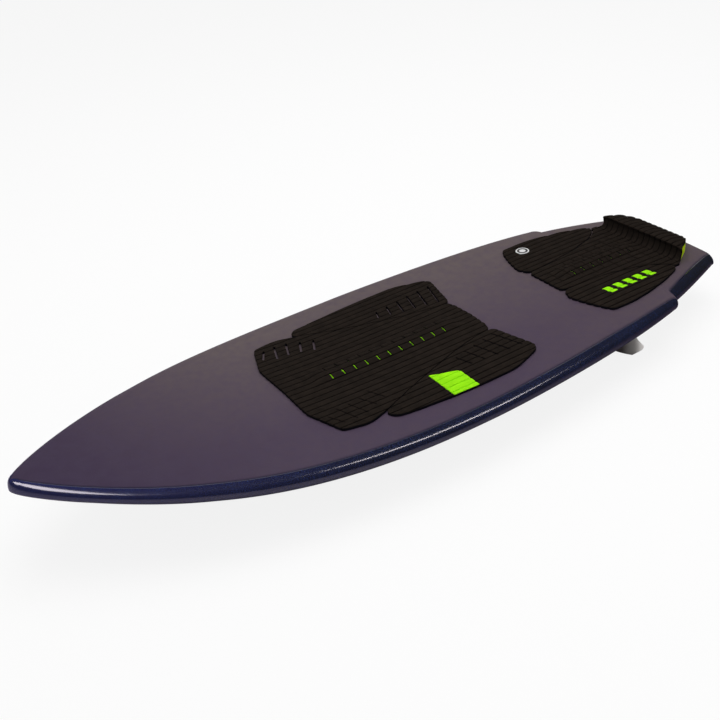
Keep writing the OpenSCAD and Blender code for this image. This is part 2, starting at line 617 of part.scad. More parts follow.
// Blade outline at a depth: leading and trailing edge, and half the thickness along it
function lead_at(h) = fin_base / 2 - fin_rake * pow(h / fin_depth, 1.6);
function trail_at(h) = let (over = max(h - fin_depth + fin_tip_r / 2, 0) / (fin_tip_r / 2))
    -fin_base / 2 - fin_hook * pow(h / fin_depth, 2.2) + fin_tip_r * (1 - sqrt(1 - pow(over, 2)));
function foil(u) = 4.3 * (sqrt(max(u, 0) + 0.002) - max(u, 0)) * (1 - 0.35 * u);
BLADE_H = [0, 0.17, 0.34, 0.5, 0.64, 0.76, 0.86, 0.94, 0.985, 1];
module fin(which) {
    lean = tan(fin_cant) * fin_side(which);
    rows = [for (k = BLADE_H) let (h = blade_gap + (fin_depth - blade_gap) * k)
        [for (u = [1:-0.1:-0.01]) [lead_at(h) + (trail_at(h) - lead_at(h)) * u, lean * h, -h,
            (fin_edge_t + (fin_t - fin_edge_t) * foil(u) * (1 - 0.55 * k)) / 2]]];
    color([0.82, 0.82, 0.8]) at_fin(which) {
        net_solid([for (r = rows) [for (p = r) [p[0], p[1] + p[3], p[2]]]],
            [for (r = rows) [for (p = r) [p[0], p[1] - p[3], p[2]]]]);
        translate([-tab_len / 2, -tab_t / 2, -2 * blade_gap])
            cube([tab_len, tab_t, tab_depth + 2 * blade_gap]);
    }
}
module fin_port() { fin("port"); }
module fin_starboard() { fin("starboard"); }
module fin_centre() { fin("centre"); }

module screw(which, s) {
    color([0.6, 0.6, 0.62]) at_fin(which) translate([s * screw_x, screw_side(which) * screw_y, screw_recess])
        difference() {
            cylinder(d = screw_d, h = screw_len, $fn = 48);
            translate([0, 0, -1]) cylinder(d = hex_af / cos(30), h = 1 + hex_depth, $fn = 6);
        }
}
module screw_port_front() { screw("port", 1); }
module screw_port_back() { screw("port", -1); }
module screw_starboard_front() { screw("starboard", 1); }
module screw_starboard_back() { screw("starboard", -1); }
module screw_centre_front() { screw("centre", 1); }
module screw_centre_back() { screw("centre", -1); }

core_port();
core_starboard();
stringer();
deck_skin();
bottom_skin();
rail_port();
rail_starboard();
tail_rail_port();
tail_rail_starboard();
nose_cap();
tail_cap();
front_pad_centre();
front_pad_port();
front_pad_starboard();
front_strip();
front_pad_tag();
rear_pad_centre();
rear_pad_port();
rear_pad_starboard();
rear_strip();
rear_pad_badge();
kick_wedge();
kick_cap();
fin_box_port();
fin_box_starboard();
fin_box_centre();
fin_port();
fin_starboard();
fin_centre();
screw_port_front();
screw_port_back();
screw_starboard_front();
screw_starboard_back();
screw_centre_front();
screw_centre_back();
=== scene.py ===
import math

import bpy
import numpy as np
from mathutils import Matrix, Vector
from mathutils.geometry import delaunay_2d_cdt


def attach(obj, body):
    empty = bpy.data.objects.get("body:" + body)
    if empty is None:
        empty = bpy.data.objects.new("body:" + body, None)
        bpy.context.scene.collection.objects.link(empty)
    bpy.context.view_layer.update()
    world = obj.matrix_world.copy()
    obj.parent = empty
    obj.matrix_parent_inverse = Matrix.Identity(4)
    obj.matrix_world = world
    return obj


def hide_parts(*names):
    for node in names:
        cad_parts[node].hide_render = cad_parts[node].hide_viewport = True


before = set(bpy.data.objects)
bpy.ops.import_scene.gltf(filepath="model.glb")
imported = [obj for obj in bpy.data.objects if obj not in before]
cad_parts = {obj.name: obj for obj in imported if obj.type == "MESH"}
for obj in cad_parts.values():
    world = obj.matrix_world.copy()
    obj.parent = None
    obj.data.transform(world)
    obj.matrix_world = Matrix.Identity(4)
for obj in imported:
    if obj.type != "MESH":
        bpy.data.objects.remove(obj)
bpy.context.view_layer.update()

# ---- Sizes shared with part.scad, in millimetres ----
MM = 0.001
HALF_L, HALF_W = 725.0, 266.5
THICK, NOSE_T, TAIL_T = 42.0, 26.0, 19.0
NOSE_RISE, TAIL_RISE, CROWN, FLAT_HALF = 64.0, 17.0, 4.0, 60.0
NOSE_ROUND = 31.0
SHOULDER_X, SHOULDER_W = 470.0, 184.0
WIDE_X = -30.0
WING_X, WING_W, WING_IN = -515.0, 217.0, 49.5
NOTCH_X, STEP_W, STEP_IN, STEP_RUN = -528.0, 200.0, 17.0, 13.0
TAIL_X, TAIL_W, TAIL_IN, TAIL_BOW = -725.0, 140.0, 60.0, 7.0
CORNER_R = 22.0
CORNER_RUN = 0.65 * CORNER_R
CORNER_X = TAIL_X + TAIL_BOW + CORNER_RUN
BAND, RAIL_DROP, TUCK, TAIL_TUCK, TUCK_RUN = 21.0, 13.5, 60.0, 34.0, 400.0
RAIL_OUT, RAIL_UP, TUCK_OUT, TUCK_DOWN = 0.58, 0.62, 0.45, 0.55
NOSE_DROP, NOSE_DROP_LEN = 0.6, 165.0
NOSE_END, NOSE_SWEEP, TAIL_END, TAIL_FACE = 13.0, 90.0, 4.0, 1.5
SKIN = 1.5
FILM, PAD_T = 0.3, 6.0
ARCH_H, ARCH_HALF, ARCH_RAMP = 5.0, 25.0, 30.0
FIN_DEPTH, FIN_BASE, FIN_T, FIN_EDGE = 70.0, 86.0, 6.4, 1.0
FIN_RAKE, FIN_HOOK, FIN_TIP = 80.0, 34.0, 22.0
FIN_CANT, FIN_TOE, BLADE_GAP = 7.0, 2.5, 0.3
SIDE_FIN_X, SIDE_FIN_IN, CENTRE_FIN_X = -396.0, 64.0, -612.0
TAB_HALF_L, TAB_HALF_T, TAB_DEPTH, TAB_EDGE = 38.0, 3.2, 14.0, 0.6
BOX_POCKET = (100.2, 26.2)

# ---- Sizes of the look alone, in millimetres ----
RIB_PITCH = 15.0
NOSE_PULL, NOSE_PULL_RUN = 0.363, 6.0
# FAR_BAND is the starboard rail's narrow navy band; there the deck paint runs further out as a painted
# sheen.
SPRAY, FAR_BAND = 6.0, 6.0
PAINT_TIP, PAINT_RUN = 716.0, 13.0
INLAY_AT, INLAY_R = (-428.0, -136.0), 14.5
SEAT_R, SEAT_DEPTH, SEAT_RINGS = 14.7, 1.6, (14.6, 14.75)


# ---- Board surfaces ----
def cubic(a, b, c, d, t):
    """Bezier curve from a to d."""
    s = 1 - t
    return s**3 * a + 3 * t * s**2 * b + 3 * t * t * s * c + t**3 * d


def plan_curve(points, t):
    return cubic(*np.array(points, float), t[:, None])


def fore(x, start=0.0):
    return np.maximum(np.asarray(x, float) - start, 0) / (HALF_L - start)


def aft(x, start=0.0):
    return np.maximum(-np.asarray(x, float) - start, 0) / (HALF_L - start)


def rise(x):
    """Height of the bottom over its flat stretch."""
    nose = NOSE_RISE * fore(x, FLAT_HALF) ** 2 + (THICK - NOSE_T) * fore(x) ** 3
    return nose + TAIL_RISE * aft(x, FLAT_HALF) ** 2


def tilt(x):
    """Slope of the bottom, in radians."""
    return math.atan(2 * TAIL_RISE * float(aft(x, FLAT_HALF)) / (HALF_L - FLAT_HALF))


SIDE_TILT = tilt(SIDE_FIN_X)
STAND = (FIN_DEPTH * math.cos(SIDE_TILT) - (FIN_RAKE - FIN_BASE / 2) * math.sin(SIDE_TILT)
         - float(rise(SIDE_FIN_X)))


def bottom(x):
    return STAND + rise(x)


def deck(x, y):
    return (STAND + THICK + NOSE_RISE * fore(x) ** 2 + TAIL_RISE * aft(x) ** 2
            - (THICK - TAIL_T) * aft(x) ** 4 - CROWN * (np.asarray(y, float) / HALF_W) ** 2)


SHOULDER_RUN, HIP_RUN, SIDE_RUN = HALF_L - SHOULDER_X, WIDE_X - WING_X, CORNER_X - NOTCH_X
NOSE_CURVE = [(HALF_L, 0), (HALF_L, NOSE_ROUND),
              (HALF_L - 0.53 * SHOULDER_RUN, 0.733 * SHOULDER_W), (SHOULDER_X, SHOULDER_W)]
SHOULDER_CURVE = [(SHOULDER_X, SHOULDER_W), (HALF_L - 1.215 * SHOULDER_RUN, 1.12 * SHOULDER_W),
                  (WIDE_X + 0.65 * (SHOULDER_X - WIDE_X), HALF_W), (WIDE_X, HALF_W)]
HIP_CURVE = [(WIDE_X, HALF_W), (WIDE_X - 0.165 * HIP_RUN, HALF_W),
             (WING_X + 0.33 * HIP_RUN, WING_W + 0.747 * WING_IN), (WING_X, WING_W)]
SIDE_CURVE = [(NOTCH_X, STEP_W), (NOTCH_X + 0.33 * SIDE_RUN, STEP_W - 0.25 * TAIL_IN),
              (NOTCH_X + 0.72 * SIDE_RUN, TAIL_W + 0.33 * TAIL_IN), (CORNER_X, TAIL_W)]
END_ANGLE = math.degrees(math.asin((CORNER_RUN - 3) / CORNER_RUN))


def arc(x0, y0, rx, ry, angles):
    a = np.radians(angles)
    return np.stack([x0 - rx * np.sin(a), y0 - ry * (1 - np.cos(a))], 1)


def chain(*parts):
    """Curves joined into one, each from where the last one ends."""
    return np.concatenate([parts[0], *(p[1:] for p in parts[1:])])


# Plan outlines, from the nose to the tail, as rows of x and half width
MAIN_LINE = chain(
    plan_curve(NOSE_CURVE, 0.004 + 0.996 * np.linspace(0, 1, 60) ** 1.5),
    plan_curve(SHOULDER_CURVE, np.linspace(0, 1, 34)),
    plan_curve(HIP_CURVE, np.linspace(0, 1, 40)),
    arc(WING_X, WING_W, STEP_RUN, STEP_IN, np.linspace(0, 90, 14)))
TAIL_LINE = chain(
    plan_curve(SIDE_CURVE, np.linspace(0, 1, 34) ** 1.4),
    arc(CORNER_X, TAIL_W, CORNER_RUN, CORNER_R, np.linspace(0, END_ANGLE, 9)))
END_LINE = arc(CORNER_X, TAIL_W, CORNER_RUN, CORNER_R,
               END_ANGLE + (89.6 - END_ANGLE) * (1 - (1 - np.linspace(0, 1, 10)) ** 1.6))
FULL_LINE = chain(MAIN_LINE, TAIL_LINE, END_LINE)


def table(x, rows):
    """Value at x, from rows of x and value that run from the nose to the tail."""
    row_x, values = np.array(rows, float).T
    return np.interp(-x, -row_x, values)


def half_at(x):
    """Half width of the board."""
    line = FULL_LINE[::-1]
    return np.interp(x, line[:, 0], line[:, 1])


def closing(gap, radius):
    """Share left of a height, at a gap from the end of a quarter round."""
    return np.sqrt(np.clip(1 - (1 - np.clip(gap, 0, radius) / radius) ** 2, 1e-4, 1))


def end_share(x):
    d = x - TAIL_X - TAIL_BOW
    return closing(HALF_L - x, NOSE_END) * closing(d + TAIL_FACE, TAIL_END) * closing(d, 1.5)


def sweep(x, z, apex):
    """Height of a point whose section closes towards an end of the board."""
    share = end_share(x) * np.where(z < apex, closing(HALF_L - x, NOSE_SWEEP), 1)
    return apex + (z - apex) * share


def in_from(w, band):
    """Half width that is left inside a band along the edge."""
    return w - np.minimum(band, 0.85 * w)


def apex_at(x, w):
    """Height of the rail's widest line."""
    drop = RAIL_DROP + NOSE_DROP * (NOSE_T - RAIL_DROP) * fore(x, HALF_L - NOSE_DROP_LEN) ** 3
    return deck(x, in_from(w, BAND)) - drop


def bow(x, w, y):
    """How far a tail section bends back off its edge."""
    run = np.clip((WING_X - x) / (WING_X - TAIL_X - TAIL_BOW), 0, None)
    return -TAIL_BOW * run**3 * (1 - (y / w) ** 2)


def bowed(x, w, y):
    """Where a section's point lies along the board. The nose is pulled in to stay inside its box."""
    return x + bow(x, w, y) - NOSE_PULL * np.exp(-(HALF_L - x) / NOSE_PULL_RUN)


class Sections:
    """Cross sections of the board at the rows of a plan outline, set in from its surface."""

    def __init__(self, line, inset=0.0):
        self.x, w = line[:, :1], line[:, 1:2]
        edge = in_from(w, BAND)
        self.apex = apex_at(self.x, w)
        self.w = w - np.minimum(inset, 0.4 * w)
        self.edge = edge - np.minimum(inset, 0.4 * edge)
        self.low = bottom(self.x) + inset
        narrowed = np.clip(-self.x / TUCK_RUN, 0, 1)
        self.tuck = np.minimum(TUCK + (TAIL_TUCK - TUCK) * narrowed, 0.6 * self.w)
        self.inset = inset

    def place(self, y, z):
        return np.stack([bowed(self.x, self.w, y), y, sweep(self.x, z, self.apex)], -1)

    def deck_z(self, y):
        return deck(self.x + bow(self.x, self.w, y), y) - self.inset

    def upper(self, u):
        """u runs from 0 at the centreline over 1 at the deck's edge to 2 at the rail's apex."""
        t = np.clip(u - 1, 0, 1)
        top = self.deck_z(self.edge)
        y = cubic(self.edge, self.edge + RAIL_OUT * (self.w - self.edge), self.w, self.w, t)
        z = cubic(top, top, self.apex + RAIL_UP * (top - self.apex), self.apex, t)
        on_deck = u <= 1
        y = np.where(on_deck, self.edge * u, y)
        return self.place(y, np.where(on_deck, self.deck_z(y), z))

    def lower(self, t):
        """t runs from 0 at the rail's apex to 1 where the flat bottom starts."""
        y = cubic(self.w, self.w, self.w - TUCK_OUT * self.tuck, self.w - self.tuck, t)
        z = cubic(self.apex, self.apex - TUCK_DOWN * (self.apex - self.low), self.low, self.low, t)
        return self.place(y, z)

    def share_at(self, y):
        """The u at which the section reaches y."""
        u = np.linspace(0, 2, 401)[None, :]
        at = self.upper(np.repeat(u, len(self.x), 0))[..., 1]
        return np.array([np.interp(v, row, u[0]) for v, row in zip(y, at)])[:, None]


# ---- Meshes ----
def make(name, verts, faces, mats, slot, stands_for, picks=None, body="board", sharp=38):
    """One piece from points in millimetres, put under its body's empty, with the CAD parts it stands for
    hidden.
    """
    mesh = bpy.data.meshes.new(name)
    mesh.from_pydata((np.asarray(verts) * MM).tolist(), [], [list(map(int, f)) for f in faces])
    for m in mats:
        mesh.materials.append(m)
    if picks is not None:
        mesh.polygons.foreach_set("material_index", np.asarray(picks, np.int32))
    mesh.shade_smooth()
    mesh.set_sharp_from_angle(angle=math.radians(sharp))
    mesh.update()
    obj = bpy.data.objects.new(name, mesh)
    bpy.context.scene.collection.objects.link(obj)
    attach(obj, body)
    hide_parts(*stands_for)
    return obj


def outward(verts, faces):
    """The closed solid, with its faces turned outwards."""
    tri = np.array([(f[0], f[i], f[i + 1]) for f in faces for i in range(1, len(f) - 1)])
    a, b, c = ((verts - verts.mean(0))[tri[:, k]] for k in range(3))
    if np.einsum("ij,ij->i", a, np.cross(b, c)).sum() < 0:
        faces = [tuple(reversed(f)) for f in faces]
    return verts, faces


def tube(m, n, first=0):
    """Faces of a closed solid through m rings of n points, the first of which is given."""
    at = first + np.arange(m * n).reshape(m, n)
    faces = [(at[i, j], at[i, (j + 1) % n], at[i + 1, (j + 1) % n], at[i + 1, j])
             for i in range(m - 1) for j in range(n)]
    return [*faces, tuple(at[0][::-1]), tuple(at[-1])]


def shell(outer, inner):
    """Closed solid between two nets of points."""
    m, n = outer.shape[:2]
    verts = np.concatenate([outer.reshape(-1, 3), inner.reshape(-1, 3)])
    at = np.arange(m * n).reshape(m, n)
    k = m * n
    faces = []
    for i in range(m - 1):
        for j in range(n - 1):
            q = at[i, j], at[i, j + 1], at[i + 1, j + 1], at[i + 1, j]
            faces.append(q)
            faces.append(tuple(v + k for v in reversed(q)))
    rim = [*at[:, 0], *at[-1, 1:], *at[-2::-1, -1], *at[0, -2:0:-1]]
    for a, b in zip(rim, rim[1:] + rim[:1]):
        faces.append((a, b, b + k, a + k))
    return outward(verts, faces)


def inside(points, loop):
    """Whether each point lies in a closed loop."""
    x, y = points[:, 0][:, None], points[:, 1][:, None]
    a, b = loop, np.roll(loop, -1, 0)
    cross = (a[:, 1] > y) != (b[:, 1] > y)
    with np.errstate(divide="ignore", invalid="ignore"):
        at = (b[:, 0] - a[:, 0]) * (y - a[:, 1]) / (b[:, 1] - a[:, 1]) + a[:, 0]
    return (np.sum(cross & (x < at), 1) % 2) == 1


def gap_to(points, loops):
    """Distance from each point to the nearest loop."""
    out = np.full(len(points), 1e9)
    for loop in loops:
        a, b = loop, np.roll(loop, -1, 0)
        near = np.all((points > loop.min(0) - 4) & (points < loop.max(0) + 4), 1)
        index = np.flatnonzero(near)
        for part in np.array_split(index, max(1, len(index) // 4000)):
            p = points[part][:, None, :]
            d = b - a
            t = np.clip(np.einsum("pij,ij->pi", p - a, d) / np.maximum((d * d).sum(1), 1e-9), 0, 1)
            q = p - a - t[..., None] * d
            out[part] = np.minimum(out[part], np.sqrt((q * q).sum(-1)).min(1))
    return out


def spaced(loop, step):
    """The closed loop with points put in where they lie more than a step apart."""
    out = []
    for a, b in zip(loop, np.roll(loop, -1, 0)):
        n = max(1, int(math.ceil(np.hypot(*(b - a)) / step)))
        out += [a + (b - a) * k / n for k in range(n)]
    return np.array(out)


def rounded(points, step=4.0):
    """Closed loop through corners given as x, y and how far from the corner its rounding starts."""
    p = np.array([q[:2] for q in points], float)
    cut = [q[2] if len(q) > 2 else 0 for q in points]
    out = []
    n = len(p)
    for i in range(n):
        before, here, after = p[i - 1], p[i], p[(i + 1) % n]
        la, lb = np.hypot(*(before - here)), np.hypot(*(after - here))
        c = min(cut[i], 0.49 * la, 0.49 * lb)
        if c <= 0:
            out.append(here)
            continue
        a, b = here + (before - here) * c / la, here + (after - here) * c / lb
        for t in np.linspace(0, 1, 6):
            out.append((1 - t) ** 2 * a + 2 * t * (1 - t) * here + t * t * b)
    loop = np.array(out)
    keep = np.hypot(*(loop - np.roll(loop, 1, 0)).T) > 0.05
    return spaced(loop[keep], step)


def area(loop):
    """Signed area, positive where the loop runs anticlockwise."""
    x, y = loop.T
    return 0.5 * float(np.sum(x * np.roll(y, -1) - y * np.roll(x, -1)))


def anticlockwise(loop):
    return loop if area(loop) > 0 else loop[::-1]


def set_in(loop, d):
    """The loop moved to its left by d."""
    ahead = np.roll(loop, -1, 0) - loop
    ahead /= np.hypot(*ahead.T)[:, None]
    mean = ahead + np.roll(ahead, 1, 0)
    mean /= np.maximum(np.hypot(*mean.T)[:, None], 1e-6)
    turn = np.clip((mean * ahead).sum(1), 0.5, 1)[:, None]
    return loop + np.stack([-mean[:, 1], mean[:, 0]], 1) * d / turn


def capsule(a, b, width):
    """Slot with round ends from a to b."""
    a, b = np.array(a, float), np.array(b, float)
    d = (b - a) / np.hypot(*(b - a))
    n = np.array([-d[1], d[0]])
    r = width / 2
    a, b = a + d * r, b - d * r
    turn = np.linspace(-math.pi / 2, math.pi / 2, 5)
    out = [b + r * (d * math.cos(t) + n * math.sin(t)) for t in turn]
    out += [a - r * (d * math.cos(t) + n * math.sin(t)) for t in turn]
    return np.array(out)


def mirror_loop(side):
    """Closed loop of one side's points and their mirror."""
    return np.concatenate([side, (side * [1, -1])[::-1]])


def level_line(xs, y):
    return np.stack([xs, np.full(len(xs), y)], 1)


def disc_loop(x, y, r, n=40):
    a = np.linspace(0, 2 * math.pi, n, endpoint=False)
    return np.stack([x + r * np.cos(a), y + r * np.sin(a)], 1)


def slab(outline, holes, lines, over, under, edge=1.2, hole_edge=0.5, inner=(), painted=()):
    """Closed solid over a plan, as points, faces and each face's material number.

    over and under give the top and the underside at plan points. The top's edges are rounded by edge and
    hole_edge. inner loops and lines only shape the mesh, and faces in a painted loop take its number.
    """
    outline = anticlockwise(outline)
    holes = [anticlockwise(h) for h in holes]
    loops = [outline, *holes, *inner]
    if edge:
        loops += [set_in(outline, edge * k) for k in (0.3, 1)]
    if hole_edge:
        loops += [set_in(h, -hole_edge) for h in holes]
    points, edges = [], []
    for line, last in [*((p, 0) for p in loops), *((p, 1) for p in lines)]:
        k, n = len(points), len(line)
        points += list(line)
        edges += [(k + i, k + (i + 1) % n) for i in range(n - last)]
    found = delaunay_2d_cdt([Vector(p) for p in points], edges, [], 0, 1e-4)
    co = np.array([tuple(v) for v in found[0]])
    tri = np.array([tuple(f) for f in found[2]])
    mid = co[tri].mean(1)
    keep = inside(mid, outline)
    for h in holes:
        keep &= ~inside(mid, h)
    e1, e2 = co[tri[:, 1]] - co[tri[:, 0]], co[tri[:, 2]] - co[tri[:, 0]]
    keep &= np.abs(e1[:, 0] * e2[:, 1] - e1[:, 1] * e2[:, 0]) > 1e-7
    tri, mid = tri[keep], mid[keep]
    used, tri = np.unique(tri, return_inverse=True)
    tri = tri.reshape(-1, 3)
    co = co[used]
    drop = np.zeros(len(co))
    for r, group in ((edge, [outline]), (hole_edge, holes)):
        if r and group:
            d = np.minimum(gap_to(co, group), r)
            drop = np.maximum(drop, r - np.sqrt(np.maximum(r * r - (r - d) ** 2, 0)))
    top, low = over(co, drop), under(co)
    n = len(co)
    pairs = dict.fromkeys(e for a, b, c in tri for e in ((a, b), (b, c), (c, a)))
    rim = [e for e in pairs if e[::-1] not in pairs]
    faces = [tuple(t) for t in tri] + [(c + n, b + n, a + n) for a, b, c in tri]
    faces += [(a, a + n, b + n, b) for a, b in rim]
    picks = [0] * len(tri) + [1] * (len(tri) + len(rim))
    for number, loop in painted:
        for i in np.flatnonzero(inside(mid, loop)):
            picks[i] = number
    return np.concatenate([top, low]), faces, picks


# ---- Materials ----
def linear(r, g, b):
    """Linear colour from sRGB numbers of 0 to 255."""
    return tuple(c / 12.92 if c <= 0.04045 else ((c + 0.055) / 1.055) ** 2.4
                 for c in (r / 255, g / 255, b / 255)) + (1.0,)


class Nodes:
    """The node tree of a material or world, with short ways to add to it."""

    def __init__(self, owner):
        owner.use_nodes = True
        self.owner, self.tree = owner, owner.node_tree

    def set(self, node, sockets):
        for key, value in sockets.items():
            if isinstance(key, str):
                key = next(i.name for i in node.inputs if i.name.lower() == key.replace("_", " "))
            socket = node.inputs[key]
            if isinstance(value, bpy.types.NodeSocket):
                self.tree.links.new(value, socket)
            else:
                socket.default_value = value

    def add(self, kind, out=0, *values, settings=(), **sockets):
        """Output of a new node, whose inputs are given in order or by name."""
        node = self.tree.nodes.new("ShaderNode" + kind)
        for key, value in dict(settings).items():
            setattr(node, key, value)
        self.set(node, {**dict(enumerate(values)), **sockets})
        return node.outputs[out]

    def place(self, scale=(1, 1, 1), turn=(0, 0, 0)):
        return self.add("Mapping", 0, vector=self.add("TexCoord", 3), scale=scale, rotation=turn)

    def axis(self, which):
        return self.add("SeparateXYZ", "XYZ".index(which), self.add("TexCoord", 3))

    def noise(self, scale, detail, vector=None, rough=0.5):
        return self.add("TexNoise", 0, vector=vector or self.place(), scale=scale, detail=detail,
                        roughness=rough)

    def math(self, what, *values):
        return self.add("Math", 0, *values, settings={"operation": what})

    def vector(self, what, out, *values):
        return self.add("VectorMath", out, *values, settings={"operation": what})

    def span(self, value, low, high, to_low=0.0, to_high=1.0, kind="LINEAR"):
        """A value that goes from to_low to to_high as another goes from low to high."""
        return self.add("MapRange", 0, value, low, high, to_low, to_high,
                        settings={"interpolation_type": kind})

    def mix(self, share, a, b, kind="MIX"):
        node = self.tree.nodes.new("ShaderNodeMix")
        node.data_type, node.blend_type = "RGBA", kind
        self.set(node, {0: share, 6: a, 7: b})
        return node.outputs[2]

    def shaded(self, colour, tone):
        """The colour made darker or lighter by a number."""
        return self.mix(1.0, colour, self.add("CombineColor", 0, tone, tone, tone), "MULTIPLY")

    def bump(self, height, strength, distance):
        normal = self.add("Bump", 0, height=height, strength=strength, distance=distance)
        self.tree.links.new(normal, self.shader.inputs["Normal"])

    def colour(self, value):
        self.set(self.shader, {"base_color": value})
        return self.owner

    def seen(self):
        """1 for rays the camera sees, directly or through a clear surface, and 1 for mirrored rays."""
        path = self.tree.nodes.new("ShaderNodeLightPath").outputs
        eye = self.math("MAXIMUM", path["Is Camera Ray"], path["Is Transmission Ray"])
        return eye, path["Is Glossy Ray"]


def material(name, **sockets):
    """Nodes of a new material, whose shader's inputs are given by name."""
    n = Nodes(bpy.data.materials.new(name))
    n.shader = n.tree.nodes["Principled BSDF"]
    n.set(n.shader, sockets)
    return n


def deck_paint(fade):
    """Matte deck colour, paler to the tail, with painted sheen on the far side, faded by a share into the
    rail's navy.
    """
    n = material(f"deck_paint_{round(100 * fade)}", specular_ior_level=0.32 - 0.25 * fade)
    x = n.axis("X")
    front = n.mix(n.span(x, 0.28, 0.66), linear(77, 62, 82), linear(56, 39, 71))
    rear = n.mix(n.span(x, -0.66, -0.1, 1, 0), front, linear(89, 76, 81))
    # Painted sheen: the far side is mixed towards a paler colour, less so towards the nose.
    far = n.span(n.axis("Y"), -0.22, 0.12, 0.8, 0.0)
    far = n.math("MULTIPLY", far, n.span(x, 0.25, 0.6, 1.0, 0.2))
    base = n.mix(far, rear, linear(105, 93, 90))
    blotch = n.span(n.noise(70, 3), 0.35, 0.68)
    base = n.mix(n.math("MULTIPLY", blotch, 0.3), base, linear(69, 56, 86))
    base = n.shaded(base, n.span(n.noise(900, 2), 0.2, 0.8, 0.92, 1.08))
    n.bump(n.noise(1500, 2), 0.08, 0.0004)
    n.set(n.shader, {"roughness": n.span(n.noise(40, 3), 0.3, 0.7, 0.48, 0.6)})
    return n.colour(n.mix(fade, base, linear(24, 27, 50)))


def rail_gloss():
    """Clear coat over dark blue cloth, its flecks fainter and its ground darker towards the tail as painted
    shade.
    """
    n = material("rail_gloss", roughness=0.18, ior=1.5, specular_ior_level=0.8)
    flecks = n.span(n.noise(620, 2, n.place((1, 1, 1), (0, 0, 0.6)), 0.6), 0.46, 0.72)
    wide = n.span(n.noise(40, 2, n.place((0.5, 1, 1))), 0.3, 0.7, 0.45, 1)
    # Painted reflection: the navy is paler towards the nose.
    navy = n.mix(n.span(n.axis("X"), 0.2, 0.72), linear(8, 11, 33), linear(32, 30, 80))
    # Painted shade: the navy darkens and its flecks fade towards the tail.
    tail = n.span(n.axis("X"), -0.62, -0.42)
    navy = n.mix(tail, linear(3, 4, 12), navy)
    wide = n.math("MULTIPLY", wide, n.math("MULTIPLY_ADD", tail, 0.6, 0.4))
    base = n.mix(n.math("MULTIPLY", flecks, wide), navy, linear(38, 53, 104))
    n.bump(n.noise(600, 2), 0.04, 0.0003)
    return n.colour(base)


def hull_gloss():
    n = material("hull_gloss", roughness=0.2, ior=1.5)
    weave = n.add("TexWave", 1, vector=n.place((1, 1, 1), (0, 0, 0.785)), scale=160, distortion=1.5)
    base = n.mix(n.math("MULTIPLY", weave, 0.25), linear(24, 30, 52), linear(52, 62, 92))
    n.bump(weave, 0.03, 0.0003)
    return n.colour(base)


def foam(name, colour, dark, pores=1400, depth=0.5, grooves=0.0):
    """Matte foam with open pores, with painted shade in the grooves between ribs, darker by a share."""
    n = material(name, roughness=0.9, specular_ior_level=0.06)
    cells = n.add("TexVoronoi", 0, vector=n.place(), scale=pores)
    tone = n.span(n.noise(60, 4), 0.3, 0.7)
    base = n.mix(n.math("MULTIPLY", tone, 0.55), colour, dark)
    base = n.mix(n.span(cells, 0.0, 0.6, 0.35, 0.0), base, dark)
    # Painted shade in the rib grooves
    if grooves:
        across = n.math("PINGPONG", n.axis("Y"), RIB_PITCH / 2 * MM)
        start, end = 0.37 * RIB_PITCH * MM, 0.47 * RIB_PITCH * MM
        base = n.shaded(base, n.span(across, start, end, 1.0, 1.0 - grooves, "SMOOTHSTEP"))
    n.bump(cells, depth, 0.0004)
    return n.colour(base)


def badge_print():
    """Pale inlay with a plain dark ring."""
    n = material("badge_print", roughness=0.5)
    flat = n.vector("MULTIPLY", 0, n.add("TexCoord", 3), (1, 1, 0))
    away = n.vector("DISTANCE", 1, flat, (INLAY_AT[0] * MM, INLAY_AT[1] * MM, 0))
    ring = n.math("MULTIPLY", n.span(away, 0.0066, 0.0074), n.span(away, 0.0112, 0.012, 1, 0))
    base = n.mix(ring, linear(232, 232, 232), linear(40, 38, 40))
    return n.colour(n.shaded(base, n.span(n.noise(500, 2), 0.3, 0.7, 0.94, 1.0)))


def box_plastic():
    n = material("box_plastic", roughness=0.4)
    tone = n.span(n.noise(300, 3), 0.3, 0.7, 0.93, 1.05)
    n.bump(n.noise(1800, 2), 0.15, 0.0002)
    return n.colour(n.shaded(linear(196, 197, 198), tone))


def fin_composite(middle):
    """Moulded fin, clear at its trailing tip, with painted light there and painted shade towards its
    leading edge.
    """
    n = material("fin_composite", roughness=0.28, ior=1.5)
    cloth = n.add("TexChecker", 1, vector=n.place((1, 1, 1), (0.1, 0.2, 0.785)), scale=900)
    tone = n.span(n.noise(35, 3), 0.3, 0.7)
    # Painted light and shade: pale towards the trailing tip, dark towards the leading edge.
    along = n.span(n.axis("X"), (middle - 62) * MM, (middle - 12) * MM)
    clear = n.span(n.axis("X"), (middle - 66) * MM, (middle - 36) * MM, 0.85, 0.0)
    n.set(n.shader, {"transmission_weight": clear})
    pale = n.mix(n.math("MULTIPLY", tone, 0.6), linear(236, 233, 230), linear(214, 209, 204))
    base = n.mix(along, pale, linear(62, 55, 53))
    base = n.mix(n.math("MULTIPLY", cloth, 0.08), base, linear(160, 158, 152))
    n.bump(cloth, 0.03, 0.0002)
    return n.colour(base)


def steel():
    n = material("screw_steel", metallic=1.0, roughness=0.32)
    brushed = n.noise(2500, 2, n.place((1, 1, 0.05)))
    n.bump(brushed, 0.1, 0.0001)
    return n.colour(n.mix(brushed, linear(168, 168, 172), linear(205, 205, 208)))


def wood():
    n = material("stringer_wood", roughness=0.6)
    grain = n.add("TexWave", 1, vector=n.place((0.06, 1, 1)), scale=90, distortion=6, detail=3)
    return n.colour(n.mix(grain, linear(176, 132, 82), linear(214, 176, 122)))


